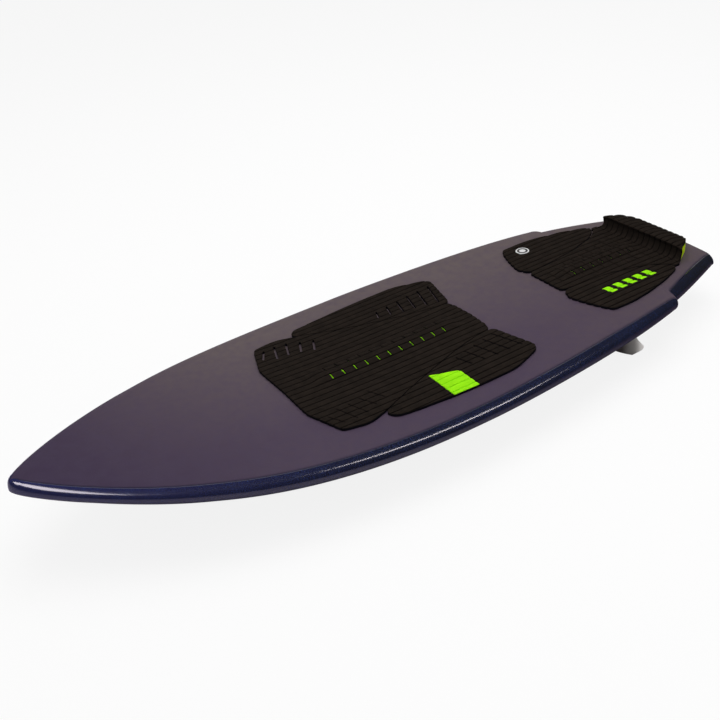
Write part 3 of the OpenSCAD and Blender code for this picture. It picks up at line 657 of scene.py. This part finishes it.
DECK = [deck_paint(fade) for fade in (0, 0.2, 0.45, 0.7)]
RAIL = rail_gloss()
HULL = hull_gloss()
# The pad foam carries painted shade in its rib grooves.
BLACK = foam("pad_foam", linear(38, 31, 26), linear(19, 15, 12), grooves=0.6)
# Painted shade: a darker, bluer copy of the pad foam for the pads' walls and undersides.
SHADED_PAD_SIDE = foam("pad_side_painted_shade", linear(20, 19, 27), linear(10, 10, 16))
LIME = foam("lime_foam", linear(160, 244, 22), linear(130, 214, 12), depth=0.3)
# Painted light: a paler, yellower copy of the lime foam for the wedge under the kick, which sits in shade.
LIME_PAINTED_LIGHT = foam("lime_painted_light", linear(222, 250, 40), linear(196, 232, 24), depth=0.3)
BADGE = badge_print()
BOX_PLASTIC = box_plastic()
SIDE_FIN, CENTRE_FIN = fin_composite(SIDE_FIN_X), fin_composite(CENTRE_FIN_X)
STEEL = steel()
CORE = foam("core_foam", linear(236, 234, 226), linear(214, 212, 204), pores=500)
WOOD = wood()

# Pieces that stay as the CAD made them, by the start of their names
for start, mat in (("core", CORE), ("stringer", WOOD), ("fin_box", BOX_PLASTIC), ("screw", STEEL)):
    for name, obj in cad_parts.items():
        if name.startswith(start):
            obj.data.materials.clear()
            obj.data.materials.append(mat)


# ---- Laminate ----
# Width of the port rail's dark band, then half width of the paint behind the wing step
PAINT_BAND = [(690, 20.5), (300, 20.5), (-100, 22), (-330, 20), (-460, 14.5), (-513, 11), (-520, 7),
              (-525, 0.3)]
TAIL_PAINT = [(-528, 199.6), (-528.4, 194), (-529.5, 187.5), (-532, 183.5), (-538, 180), (-547, 176.5),
              (-560, 171.5), (-586, 161.5), (-610, 152.5), (-634, 143.6), (-670, 131.5), (-700, 122.5),
              (-712, 120), (-718, 117.5)]


def paint_line(line, side):
    """Where the deck's paint meets the rail band, at each row of a plan outline."""
    x, w = line.T
    # On the starboard side the deck paint reaches further out, a painted sheen over the navy.
    y = in_from(w, FAR_BAND if side < 0 else table(x, PAINT_BAND))
    tip = np.sqrt(np.clip((PAINT_TIP - x) / PAINT_RUN, 1e-4, 1))
    y = np.where(x > PAINT_TIP - PAINT_RUN, y * tip, y)
    if side < 0:
        return y
    return np.where(x < NOTCH_X - 0.01, np.minimum(table(x, TAIL_PAINT), w - 0.3), y)


def mirrored(net, side):
    """The net on its own side (1) or on the other (-1)."""
    return net * np.array([1, side, 1])


def paint_shell(line):
    """The deck's laminate, whose last three columns on each side are its sprayed edge."""
    s = Sections(line)
    inner = np.linspace(0, 1, 16) ** 0.8
    halves = []
    for side in (-1, 1):
        edge = paint_line(line, side)
        bands = [s.share_at(np.maximum(edge - k * SPRAY, 0.5 * edge)) for k in (1, 2 / 3, 1 / 3, 0)]
        halves.append(np.concatenate([bands[0] * inner[None, :], *bands[1:]], 1))
    share = np.concatenate([-halves[0][:, :0:-1], halves[1]], 1)
    nets = []
    for inset in (0, SKIN):
        net = Sections(line, inset).upper(np.abs(share))
        net[..., 1] *= np.sign(share)
        nets.append(net)
    verts, faces = shell(*nets)
    columns = np.arange(share.shape[1] - 1)
    band = np.clip(3 - np.minimum(columns, columns[::-1]), 0, 3)
    across = np.repeat(np.tile(band, share.shape[0] - 1), 2)
    picks = np.concatenate([across, np.zeros(len(faces) - len(across), int)])
    return verts, faces, picks


def rail_shell(line, side):
    """A rail's laminate, from the paint over the widest line to the flat bottom."""
    nets = []
    share = Sections(line).share_at(paint_line(line, side))
    for inset in (0, SKIN):
        s = Sections(line, inset)
        up = s.upper(share + (2 - share) * np.linspace(0, 1, 16)[None, :])
        down = s.lower(np.linspace(0, 1, 18)[None, 1:] + 0 * share)
        nets.append(mirrored(np.concatenate([up, down], 1), side))
    return shell(*nets)


BODY_LINE = chain(MAIN_LINE, TAIL_LINE)
verts, faces, picks = paint_shell(BODY_LINE)
make("deck_shell", verts, faces, DECK, "deck_paint", ["deck_skin"], picks, sharp=60)
for side, word in ((1, "port"), (-1, "starboard")):
    for line, node in ((MAIN_LINE, "rail"), (TAIL_LINE, "tail_rail")):
        make(f"{node}_shell_{word}", *rail_shell(line, side), [RAIL], "rail_gloss", [f"{node}_{word}"],
             sharp=60)


def closed_loft(line, inset=0.0):
    """Closed solid through whole sections of the board."""
    s = Sections(line, inset)
    up = s.upper(np.linspace(0, 2, 30)[None, :] + 0 * s.x)
    down = s.lower(np.linspace(0, 1, 12)[None, 1:] + 0 * s.x)
    flat_y = down[:, -1:, 1] * np.linspace(1, 0, 8)[None, 1:]
    half = np.concatenate([up, down, s.place(flat_y, s.low + 0 * flat_y)], 1)
    ring = np.concatenate([half, mirrored(half[:, -2:0:-1], -1)], 1)
    return outward(ring.reshape(-1, 3), tube(*ring.shape[:2]))


make("tail_end", *closed_loft(END_LINE), [RAIL], "rail_gloss", ["tail_cap"], sharp=60)
nose_x = MAIN_LINE[:, 0]
nose_rows = MAIN_LINE[(nose_x > 700) & (nose_x < 721)]
make("nose_plug", *closed_loft(nose_rows, 2 * SKIN), [RAIL], "rail_gloss", ["nose_cap"], sharp=60)


# ---- Bottom laminate, with a pocket for each fin box ----
FINS = ("port", "starboard", "centre")
SIDE_FIN_Y = float(half_at(SIDE_FIN_X)) - SIDE_FIN_IN


def fin_frame(which):
    """A fin's side, its base's middle and its axes: X along the base, Z up into the board."""
    side = {"port": 1, "starboard": -1, "centre": 0}[which]
    x = CENTRE_FIN_X if which == "centre" else SIDE_FIN_X
    turn = Matrix.Rotation(math.radians(-side * FIN_TOE), 3, "Z") @ Matrix.Rotation(tilt(x), 3, "Y")
    return side, np.array([x, side * SIDE_FIN_Y, float(bottom(x))]), np.array(turn)


def stadium(length, width):
    """Outline of a box's flange."""
    r = width / 2
    a = np.linspace(-math.pi / 2, math.pi / 2, 24)
    right = np.stack([(length - width) / 2 + r * np.cos(a), r * np.sin(a)], 1)
    return np.concatenate([right, -right])


def hull():
    """The laminate between the rails, with a pocket for each box."""
    line = BODY_LINE[1:]
    s = Sections(line)
    run = (s.w - s.tuck)[:, 0]
    outline = mirror_loop(np.stack([line[:, 0], run], 1))
    pocket = stadium(*BOX_POCKET)
    pocket = np.column_stack([pocket, np.zeros(len(pocket))])
    holes = []
    for which in FINS:
        _, at, turn = fin_frame(which)
        spot = at + pocket @ turn.T
        xs = spot[:, 0].copy()
        for _ in range(6):
            xs = spot[:, 0] - bow(xs, half_at(xs), spot[:, 1])
        holes.append(np.stack([xs, spot[:, 1]], 1))
    lines = [np.array([(x, -r + 0.02), (x, r - 0.02)]) for x, r in zip(line[:, 0], run) if r > 1]

    def face(co, inset):
        x, y = co.T
        w = half_at(x)
        return np.stack([bowed(x, w, y), y, sweep(x, bottom(x) + inset, apex_at(x, w))], 1)

    verts, faces, _ = slab(outline, holes, lines, lambda co, drop: face(co, SKIN), lambda co: face(co, 0),
                           edge=0, hole_edge=0)
    return verts, faces


make("hull_shell", *hull(), [HULL], "hull_gloss", ["bottom_skin"], sharp=40)


# ---- Fins ----
def blade(which):
    """A raked, leaning blade with a plain tab on its base."""
    side, at, turn = fin_frame(which)
    lean = math.tan(math.radians(FIN_CANT)) * side
    k = np.concatenate([np.linspace(0, 0.9, 22), 0.9 + 0.1 * np.sin(np.linspace(0, math.pi / 2, 9))[1:]])
    h = BLADE_GAP + (FIN_DEPTH - BLADE_GAP) * k
    lead = FIN_BASE / 2 - FIN_RAKE * (h / FIN_DEPTH) ** 1.6
    over = np.clip((h - FIN_DEPTH + FIN_TIP / 2) / (FIN_TIP / 2), 0, 1)
    trail = -FIN_BASE / 2 - FIN_HOOK * (h / FIN_DEPTH) ** 2.2 + FIN_TIP * (1 - np.sqrt(1 - over**2))
    u = 0.5 - 0.5 * np.cos(np.linspace(0, math.pi, 34))
    u[0], u[-1] = 0.0005, 0.9995
    thick = 4.3 * (np.sqrt(u + 0.002) - u) * (1 - 0.35 * u)
    half = (FIN_EDGE + (FIN_T - FIN_EDGE) * thick[None, :] * (1 - 0.55 * k[:, None])) / 2
    soft = np.sqrt(np.clip(1 - (1 - np.minimum(np.minimum(u / 0.025, (1 - u) / 0.012), 1)) ** 2, 0.02, 1))
    tip = np.sqrt(np.clip(1 - np.clip((k - 0.975) / 0.025, 0, 1) ** 2, 0.02, 1))
    half = half * soft[None, :] * tip[:, None]
    x = lead[:, None] + (trail - lead)[:, None] * u[None, :]
    y = lean * h[:, None] + 0 * x
    z = -h[:, None] + 0 * x
    verts, faces = shell(np.stack([x, y + half, z], -1), np.stack([x, y - half, z], -1))
    corners = np.array([(1, 1), (-1, 1), (-1, -1), (1, -1)])
    tab = []
    for height, d in ((-2 * BLADE_GAP, 0), (TAB_DEPTH - TAB_EDGE, 0), (TAB_DEPTH, TAB_EDGE)):
        ring = corners * (TAB_HALF_L - d, TAB_HALF_T - d)
        tab.append(np.column_stack([ring, np.full(4, height)]))
    return at + np.concatenate([verts, *tab]) @ turn.T, faces + tube(3, 4, len(verts))


for which in FINS:
    mat = CENTRE_FIN if which == "centre" else SIDE_FIN
    node = f"fin_{which}"
    make(f"foil_{which}", *blade(which), [mat], "fin_composite", [node], body=node, sharp=50)


# ---- Traction pads ----
CUT_HALF, CUT_DEPTH = 1.5, 2.4
# Each pad's rib crown and groove depth
FRONT_RIBS, REAR_RIBS, KICK_RIBS = (0.9, 1.8), (1.5, 2.0), (1.9, 1.8)


def on_film(co):
    """Underside of a piece that lies on the film over the deck."""
    return np.column_stack([co, deck(*co.T) + FILM])


def rib(y, ribs, groove=1.0):
    """How far the pad's top lies below the crests of its ribs."""
    crown, depth = ribs
    off = np.abs((y + RIB_PITCH / 2) % RIB_PITCH - RIB_PITCH / 2)
    gap = RIB_PITCH / 2 - off
    return crown * (off / (RIB_PITCH / 2)) ** 2.4 + depth * np.clip(1 - gap / groove, 0, 1)


def rib_lines(x0, x1, y0, y1):
    """Lines of points along each rib and the edges of its groove."""
    xs = np.linspace(x0, x1, int(abs(x1 - x0) / 9.0) + 2)
    grooves = [(k + 0.5) * RIB_PITCH for k in range(int(y0 // RIB_PITCH) - 1, int(y1 // RIB_PITCH) + 2)]
    ys = [y + off for y in grooves for off in (0, 1.0, 2.6, 4.8, 7.5, 10.2, 12.4, 14.0)]
    return [level_line(xs, y) for y in ys if y0 < y < y1]


def arch(x, y, front, back):
    """Height of a pad's arch bar over the flat pad."""
    share = np.clip(np.minimum(front - x, x - back) / ARCH_RAMP, 0, 1)
    share = share * share * (3 - 2 * share)
    return np.where(np.abs(y) < ARCH_HALF, ARCH_H * (1 - (y / ARCH_HALF) ** 2) * share, 0)


def pad(name, outline, holes, ribs, node, bar=None, floor=None, cuts=(), mats=(BLACK, SHADED_PAD_SIDE),
        slot="pad_foam", painted=(), seat=None, inner=()):
    """A ribbed pad with an arch bar, an underside, cross cuts or a round seat where they are given."""
    lo, hi = outline.min(0), outline.max(0)
    lines = rib_lines(hi[0] + 1, lo[0] - 1, lo[1] - 1, hi[1] + 1)
    for x, y0, y1 in cuts:
        ys = np.linspace(y0, y1, max(3, int((y1 - y0) / 1.6)))
        lines += [np.stack([np.full(len(ys), x + d), ys], 1) for d in (-CUT_HALF, 0, CUT_HALF)]
    inner = list(inner)
    if seat:
        inner += [disc_loop(*seat, r) for r in SEAT_RINGS]

    def over(co, drop):
        x, y = co.T
        low = rib(y, ribs)
        for cx, y0, y1 in cuts:
            groove = CUT_DEPTH * np.clip(1 - np.abs(x - cx) / CUT_HALF, 0, 1)
            low = np.maximum(low, np.where((y >= y0) & (y <= y1), groove, 0))
        t = PAD_T - low - drop
        if bar:
            t = t + arch(x, y, *bar)
        if seat:
            t = np.where(np.hypot(x - seat[0], y - seat[1]) < SEAT_R, PAD_T - SEAT_DEPTH, t)
        return np.stack([x, y, deck(x, y) + t], 1)

    def under(co):
        low = on_film(co)
        if floor:
            low[:, 2] = np.maximum(low[:, 2], floor(*co.T))
        return low

    verts, faces, picks = slab(outline, holes, lines, over, under, inner=inner, painted=painted)
    obj = make(name, verts, faces, mats, slot, [node], picks, sharp=35)


def scalloped(loop, depth):
    """The loop drawn in where a groove between two ribs meets it."""
    ahead = np.roll(loop, -1, 0) - np.roll(loop, 1, 0)
    ahead /= np.maximum(np.hypot(*ahead.T)[:, None], 1e-9)
    off = np.abs((loop[:, 1] + RIB_PITCH / 2) % RIB_PITCH - RIB_PITCH / 2) / (RIB_PITCH / 2)
    shift = depth * off**4 * np.abs(ahead[:, 1])
    inward = np.stack([-ahead[:, 1], ahead[:, 0]], 1) * np.sign(area(loop))
    return loop + inward * shift[:, None]


def flipped(points):
    """One side's points as the other side's."""
    return [(p[0], -p[1], *p[2:]) for p in reversed(points)]


def both(points):
    """A loop from one side's points and their mirror."""
    return points + flipped([p for p in points if p[1] != 0])


def pad_edge(points, scallop=0.8, step=1.8):
    """A pad's outline, rounded and scalloped."""
    return scalloped(rounded(points, step), scallop)


# Foam over a strip, the slots' reach from the spine, then each arch bar's ends, strip and slots
COVER, STRIP_HALF, SLOT_FROM, SLOT_TO, FAR_SLOT = 3.4, 23.0, 5.5, 20.5, 0.6
FRONT_BAR, FRONT_STRIP = (190.0, -152.0), (168.0, -132.0)
REAR_BAR, REAR_STRIP = (-402.0, -623.0), (-424.0, -596.0)
FRONT_SLOTS, FRONT_SLOT_W = [145 - 25.1 * k for k in range(11)], 3.2
REAR_SLOTS, REAR_SLOT_W = [-436 - 25.3 * k for k in range(7)], 3.0


def strip_top(bar):
    """Height of the strip's top under an arch bar."""
    return lambda x, y: deck(x, y) + PAD_T - COVER + arch(x, y, *bar)


def strip_floor(bar, ends):
    """Underside of a centre piece over its strip."""
    top = strip_top(bar)

    def at(x, y):
        over = (np.abs(y) < STRIP_HALF + 0.4) & (x < ends[0] + 0.5) & (x > ends[1] - 0.5)
        return np.where(over, top(x, y) + 0.1, -1e9)
    return at


def strip(name, bar, ends, node):
    """Coloured foam that lies under an arch bar and shows in its slots."""
    x0, x1 = ends
    h = STRIP_HALF
    loop = rounded([(x0, -h, 3), (x0, h, 3), (x1, h, 3), (x1, -h, 3)], 6)
    xs = np.linspace(x0, x1, 60)
    lines = [level_line(xs, y) for y in range(-20, 21, 4)]
    top = strip_top(bar)
    verts, faces, picks = slab(
        loop, [], lines, lambda co, drop: np.column_stack([co, top(*co.T) - drop]), on_film, edge=0.8)
    obj = make(name, verts, faces, [LIME, LIME], "lime_foam", [node], picks)


def strip_frame(ends):
    """Lines round a strip, so that the pad's recess has clean edges."""
    x0, x1 = ends
    out = []
    for d in (0.35, 0.8):
        y = STRIP_HALF + d
        ring = np.array([(x0 + d, -y), (x0 + d, y), (x1 - d, y), (x1 - d, -y)])
        out.append(spaced(ring, 9))
    return out


def spine_slots(xs, width):
    """Cross slots through an arch bar, in pairs. The far ones are narrower."""
    return [capsule((x, side * SLOT_FROM), (x, side * SLOT_TO), share * width)
            for x in xs for side, share in ((1, 1), (-1, FAR_SLOT))]


# Front pad
SLITS = [(208, 118, 148), (184, 105, 150), (160, 105, 147), (136, 100, 135), (112, 90, 125)]
front_slits = [capsule((x + 8, side * y0), (x - 8, side * y1), width)
               for x, y0, y1 in SLITS for side, width in ((1, 1.4), (-1, 4.2))]
FRONT_HALF = [(238.4, 0), (240, 60, 20), (240, 89, 9), (214, 163, 9), (165, 172, 16), (120, 157.5, 26),
              (50, 128, 30), (0, 110, 25), (-50, 93, 25), (-100, 78, 25), (-150, 68, 20), (-173, 66, 5),
              (-179.5, 50, 6), (-182, 0)]
front_slots = spine_slots(FRONT_SLOTS, FRONT_SLOT_W)
pad("front_centre", pad_edge(both(FRONT_HALF), 1.0), front_slots + front_slits, FRONT_RIBS,
    "front_pad_centre", FRONT_BAR, strip_floor(FRONT_BAR, FRONT_STRIP), inner=strip_frame(FRONT_STRIP))
strip("front_strip_foam", FRONT_BAR, FRONT_STRIP, "front_strip")

wing_inner = [(-174, 67.6, 5), (-150, 69.5, 20), (-100, 79.5, 25), (-50, 94.5, 25), (0, 111.5, 25),
              (50, 129.5, 30), (120, 159, 6), (126, 163, 4)]
wing_outer = [(126.5, 173, 7), (115, 183.5, 7), (90, 188, 12), (50, 191.5, 20), (0, 196, 20),
              (-50, 198.5, 20), (-131, 199, 22), (-196, 176, 7), (-204, 162, 7), (-191, 112, 20),
              (-183, 76, 8)]
cut_in = [112, 105, 98, 92, 87, 83]
cut_out = [135, 139, 143, 147, 149, 150]
wing_cuts = [((-40 - 25 * k, cut_in[k]), (-48 - 27.5 * k, cut_out[k])) for k in range(6)]
# The port piece has a lime block set in its edge, in place of the outline's fifth outer point
tag_seat = [(7.5, 195.4), (7.5, 118.8), (-46.5, 140.6, 1.5), (-46.5, 198.4)]
pad("front_wing_port", pad_edge(wing_inner + wing_outer[:4] + tag_seat + wing_outer[5:]),
    [capsule(a, b, 2.4) for a, b in wing_cuts[1:]], FRONT_RIBS, "front_pad_port")
tag = rounded([(7.2, 119.4, 2), (7.2, 195.6, 1.5), (-20, 197.2, 5), (-46.2, 198.4, 1.5), (-46.2, 141, 5)])
pad("front_tag", tag, [], FRONT_RIBS, "front_pad_tag", mats=(LIME, SHADED_PAD_SIDE), slot="lime_foam")
pad("front_wing_starboard", pad_edge(flipped(wing_inner + wing_outer)),
    [capsule((a[0], -a[1]), (b[0], -b[1]), 3.8) for a, b in wing_cuts], FRONT_RIBS, "front_pad_starboard")

# Rear pad
REAR_HALF = [(-372.5, 0), (-372.5, 44, 3), (-380, 49.4, 4), (-440, 54.4, 20), (-480, 59.5, 15),
             (-500, 62.5, 10), (-545, 75, 20), (-580, 88, 12), (-603, 106, 5), (-609, 112, 3),
             (-612, 121, 4), (-627.6, 120, 1)]
cut_x = [-411, -436, -462, -487, -513, -538, -564, -589, -615]
cut_half = [20, 27, 32, 45, 42, 50, 55, 60, 72]
rear_cuts = [(x + 12.6, -half, half) for x, half in zip(cut_x, cut_half)]
rear_slots = spine_slots(REAR_SLOTS, REAR_SLOT_W)
pad("rear_centre", pad_edge(both(REAR_HALF), 2.4, 1.3), rear_slots, REAR_RIBS, "rear_pad_centre", REAR_BAR,
    strip_floor(REAR_BAR, REAR_STRIP), cuts=rear_cuts, inner=strip_frame(REAR_STRIP))
strip("rear_strip_foam", REAR_BAR, REAR_STRIP, "rear_strip")

rear_inner = [(-607, 111.5, 4), (-580, 90.5, 12), (-545, 77.5, 20), (-500, 64.8, 10), (-480, 61.5, 15),
              (-440, 56.2, 20), (-381.5, 51.4, 3), (-372.5, 58, 6)]
rear_outer = [(-364, 78, 8), (-372, 108, 12), (-381, 134, 10), (-390, 155, 8), (-399, 168, 7),
              (-450, 169.8, 20), (-500, 163, 20), (-560, 148.5, 20), (-600, 133, 10), (-611, 126, 4)]
# Five plain lime bars on the port piece
bar = anticlockwise(np.array([(-432.0, 97), (-447, 97), (-453, 122), (-438, 122)]))
bars = [spaced(bar - (26.5 * k, 0), 4) for k in range(5)]
rear_wing = rear_inner + rear_outer
pad("rear_wing_port", pad_edge(rear_wing, 2.4, 1.3), [], REAR_RIBS, "rear_pad_port",
    mats=(BLACK, SHADED_PAD_SIDE, LIME), inner=bars, painted=[(2, b) for b in bars])
pad("rear_wing_starboard", pad_edge(flipped(rear_wing), 2.4, 1.3), [], REAR_RIBS, "rear_pad_starboard",
    seat=INLAY_AT)


def inlay():
    """The round inlay: a disc of 64 sides that follows the deck, flush with the pad's crests."""
    n = 64
    rings = [(INLAY_R, -1.45), (INLAY_R, -0.3), (INLAY_R - 0.3, 0.0), (11, 0.0), (6, 0.0)]
    loops = [disc_loop(*INLAY_AT, r, n) for r, _ in rings]
    verts = [np.column_stack([loop, deck(*loop.T) + PAD_T + h]) for loop, (_, h) in zip(loops, rings)]
    return np.concatenate(verts), tube(len(rings), n)


make("round_inlay", *inlay(), [BADGE], "badge_print", ["rear_pad_badge"])

# ---- Tail kick ----
# Profile on the centreline as x and height over the deck, then x and half width, then the wedge's top
KICK_PROFILE = [(-627.9, 5.9), (-631.2, 6.5), (-634.4, 8.3), (-637.4, 11.8), (-639.9, 17.0), (-641.4, 22.5),
                (-641.2, 26.5), (-638.6, 30.0), (-639.0, 32.1), (-643.0, 33.2), (-655, 33.6), (-668, 32.2),
                (-682, 29.2), (-694, 25.6), (-700.3, 23.4), (-703, 20.6), (-703.9, 17.0)]
KICK_SIDE = [(-627.9, 117.8), (-634, 114.6), (-640, 110.6), (-650, 104), (-660, 97.6), (-670, 91.6),
             (-680, 85.6), (-690, 78.2), (-698, 67), (-702.6, 52), (-703.9, 40)]
WEDGE_FRONT = -642.0
WEDGE_TOP = [(-642, 16.0), (-648, 20.5), (-656, 23.5), (-668, 23.0), (-682, 20.0), (-703.9, 12.5)]
KICK_GROOVE, KICK_FLARE, KICK_END_DROP, RIDGE_H = 1.6, 0.03, 4.0, 30.0


def smooth_line(points, n):
    """Evenly spaced points on a Catmull-Rom curve."""
    p = np.array(points, float)
    p = np.concatenate([[2 * p[0] - p[1]], p, [2 * p[-1] - p[-2]]])
    out = []
    for i in range(1, len(p) - 2):
        for t in np.linspace(0, 1, 24, endpoint=False):
            a, b, c, d = p[i - 1:i + 3]
            out.append(0.5 * (2 * b + (c - a) * t + (2 * a - 5 * b + 4 * c - d) * t * t
                              + (3 * b - a - 3 * c + d) * t**3))
    out = np.array(out + [p[-2]])
    run = np.concatenate([[0], np.cumsum(np.hypot(*np.diff(out, axis=0).T))])
    s = np.linspace(0, run[-1], n)
    return s, np.stack([np.interp(s, run, out[:, k]) for k in (0, 1)], 1)


KICK_S, KICK_P = smooth_line(KICK_PROFILE, 120)
KICK_N = np.gradient(KICK_P, axis=0) @ [[0, -1], [1, 0]]
KICK_N /= np.hypot(*KICK_N.T)[:, None]
KICK_HALF = smooth_line(KICK_SIDE, 60)[1]


def kick():
    """The kick's ribbed cap, laid out along its profile, and the wedge under it."""
    back = np.minimum.accumulate(KICK_P[:, 0])
    front = float(np.interp(-WEDGE_FRONT, -back, KICK_S))
    ridge = float(KICK_S[np.argmax(KICK_P[:, 1] > RIDGE_H)])
    side = np.stack([KICK_S, table(back, KICK_HALF)], 1)
    loop = scalloped(spaced(mirror_loop(side), 1.6), 1.6)
    rows = np.unique(np.concatenate([np.arange(0, 40, 1.2), np.arange(40, KICK_S[-1], 5), [KICK_S[-1]]]))
    lines = [level_line(rows, (k + 0.5) * RIB_PITCH + off)
             for k in range(-9, 9) for off in (0, 1.6, 3.2, 5.2, 7.5, 9.8, 11.8, 13.4)]
    lines += [np.stack([np.full(80, front + d), np.linspace(-119, 119, 80)], 1) for d in (-0.03, 0.03)]

    def over(co, drop):
        s, y = co.T
        x, h, nx, nz = (np.interp(s, KICK_S, v) for v in (*KICK_P.T, *KICK_N.T))
        wall = np.where(s < ridge, 1 - 0.7 * nx**2, 1)
        low = rib(y, KICK_RIBS, KICK_GROOVE) * wall + drop
        # The cap is a little wider at its ridge, and its top drops towards both ends
        flare = 1 + KICK_FLARE * np.exp(-((s - ridge) / 9) ** 2)
        end = np.clip((np.abs(y) - 88) / 24, 0, 1) ** 2
        h = h - KICK_END_DROP * end * np.clip((h - 20) / 8, 0, 1)
        return np.stack([x - nx * low, y * flare, deck(x, y) + h - nz * low], 1)

    def under(co):
        s, y = co.T
        x = np.interp(s, KICK_S, back)
        return np.stack([x, y, deck(x, y) + np.where(s > front, table(x, WEDGE_TOP), FILM)], 1)

    verts, faces, picks = slab(loop, [], lines, over, under)
    obj = make("kick_pad", verts, faces, [BLACK, SHADED_PAD_SIDE], "pad_foam", ["kick_cap"], picks, sharp=35)

    xs = np.linspace(WEDGE_FRONT - 0.1, KICK_HALF[-1, 0] + 0.3, 26)
    side = np.stack([xs, table(xs, KICK_HALF) - 0.5], 1)
    loop = spaced(mirror_loop(side), 6)
    lines = [level_line(xs, y) for y in range(-110, 111, 20)]
    verts, faces, picks = slab(
        loop, [], lines,
        lambda co, drop: np.column_stack([co, deck(*co.T) + table(co[:, 0], WEDGE_TOP) - 0.1]),
        on_film, edge=0)
    # The wedge takes the lime foam's painted-light copy.
    obj = make("kick_core", verts, faces, [LIME_PAINTED_LIGHT, LIME_PAINTED_LIGHT], "lime_foam", ["kick_wedge"], picks)


kick()


# ---- Floor, world, lamps and camera ----
# White for the camera, softer for light, and dim or bright for reflections, by where they go
SKY_SEEN, SKY_LIGHT, SKY_GLOSS, SKY_FAR_GLOSS = 1.0, 0.4, 0.08, 0.6
FAR_WAY, FAR_START, FAR_END = (-0.488, -0.872, -0.35), 0.8, 0.95
FLOOR_SEEN, FLOOR_LIGHT, FLOOR_GLOW = 0.97, 0.4, 0.86
# What the rail mirrors of the floor: red, green and blue under the tail, then under the nose
FLOOR_TAIL, FLOOR_NOSE = (0.16, 0.12, 0.18), (0.68, 0.6, 0.76)
FLOOR_FROM, FLOOR_TO, FLOOR_HALF = -0.55, 0.2, 30.0

n = Nodes(bpy.data.worlds.new("studio"))
bpy.context.scene.world = n.owner
eye, gloss = n.seen()
beyond = n.vector("DOT_PRODUCT", 1, n.add("TexCoord", 0), FAR_WAY)
mirrored_sky = n.span(beyond, FAR_START, FAR_END, SKY_GLOSS, SKY_FAR_GLOSS)
light = n.span(gloss, 0, 1, SKY_LIGHT, mirrored_sky)
n.set(n.tree.nodes["Background"], {0: (1, 1, 1, 1), 1: n.span(eye, 0, 1, light, SKY_SEEN)})

n = material("pale_floor", roughness=0.9, specular_ior_level=0.0)
eye, gloss = n.seen()
x = n.axis("X")
shades = []
for under_tail, under_nose in zip(FLOOR_TAIL, FLOOR_NOSE):
    mirrored_floor = n.span(x, FLOOR_FROM, FLOOR_TO, under_tail, under_nose)
    shades.append(n.span(eye, 0, 1, n.span(gloss, 0, 1, FLOOR_LIGHT, mirrored_floor), FLOOR_SEEN))
floor_mat = n.colour(n.add("CombineColor", 0, *shades))
blend = n.add("MixShader", 0, n.span(eye, 0, 1, 0.0, FLOOR_GLOW), n.shader.outputs[0], n.add("Emission"))
n.set(n.tree.nodes["Material Output"], {0: blend})
mesh = bpy.data.meshes.new("floor")
corners = [(x * FLOOR_HALF, y * FLOOR_HALF, 0) for x, y in ((-1, -1), (1, -1), (1, 1), (-1, 1))]
mesh.from_pydata(corners, [], [(0, 1, 2, 3)])
mesh.materials.append(floor_mat)
floor = bpy.data.objects.new("floor", mesh)
bpy.context.scene.collection.objects.link(floor)


def lamp(name, at, aim, size, power):
    data = bpy.data.lights.new(name, "AREA")
    data.shape = "RECTANGLE"
    data.size, data.size_y = size
    data.energy = power
    obj = bpy.data.objects.new(name, data)
    obj.location = at
    obj.rotation_euler = (Vector(aim) - Vector(at)).to_track_quat("-Z", "Y").to_euler()
    bpy.context.scene.collection.objects.link(obj)
    return obj


# A broad softbox overhead gives the light. Two small ones only draw the rail's two streaks.
key = lamp("key", (-0.5, -0.2, 2.7), (-0.1, 0, 0.1), (2.6, 2.2), 52)
key.visible_glossy = False
for streak in (lamp("nose_glint", (1.35, -0.1, 1.9), (0.5, 0.05, 0.15), (1.25, 1.0), 37),
               lamp("middle_glint", (-0.86, 0.55, 1.9), (0.05, 0.15, 0.1), (0.12, 1.0), 8.5)):
    streak.visible_diffuse = False
    streak.data.color = (1, 0.92, 0.95)

CAMERA_AT, LENS, SENSOR = (0.8384, 1.36318, 1.10233), 50.149, 36
AZ, EL, ROLL = (math.radians(v) for v in (240.777, -32.283, -6.478))
ahead = Vector((math.cos(EL) * math.cos(AZ), math.cos(EL) * math.sin(AZ), math.sin(EL)))
across = ahead.cross(Vector((0, 0, 1))).normalized()
upright = across.cross(ahead)
right = math.cos(ROLL) * across + math.sin(ROLL) * upright
top = math.cos(ROLL) * upright - math.sin(ROLL) * across
data = bpy.data.cameras.new("camera")
data.lens, data.sensor_width = LENS, SENSOR
data.clip_start, data.clip_end = 0.05, 100
camera = bpy.data.objects.new("camera", data)
turned = Matrix((right, top, -ahead)).transposed().to_4x4()
camera.matrix_world = Matrix.Translation(CAMERA_AT) @ turned
bpy.context.scene.collection.objects.link(camera)
bpy.context.scene.camera = camera
bpy.context.scene.view_settings.view_transform = "Standard"
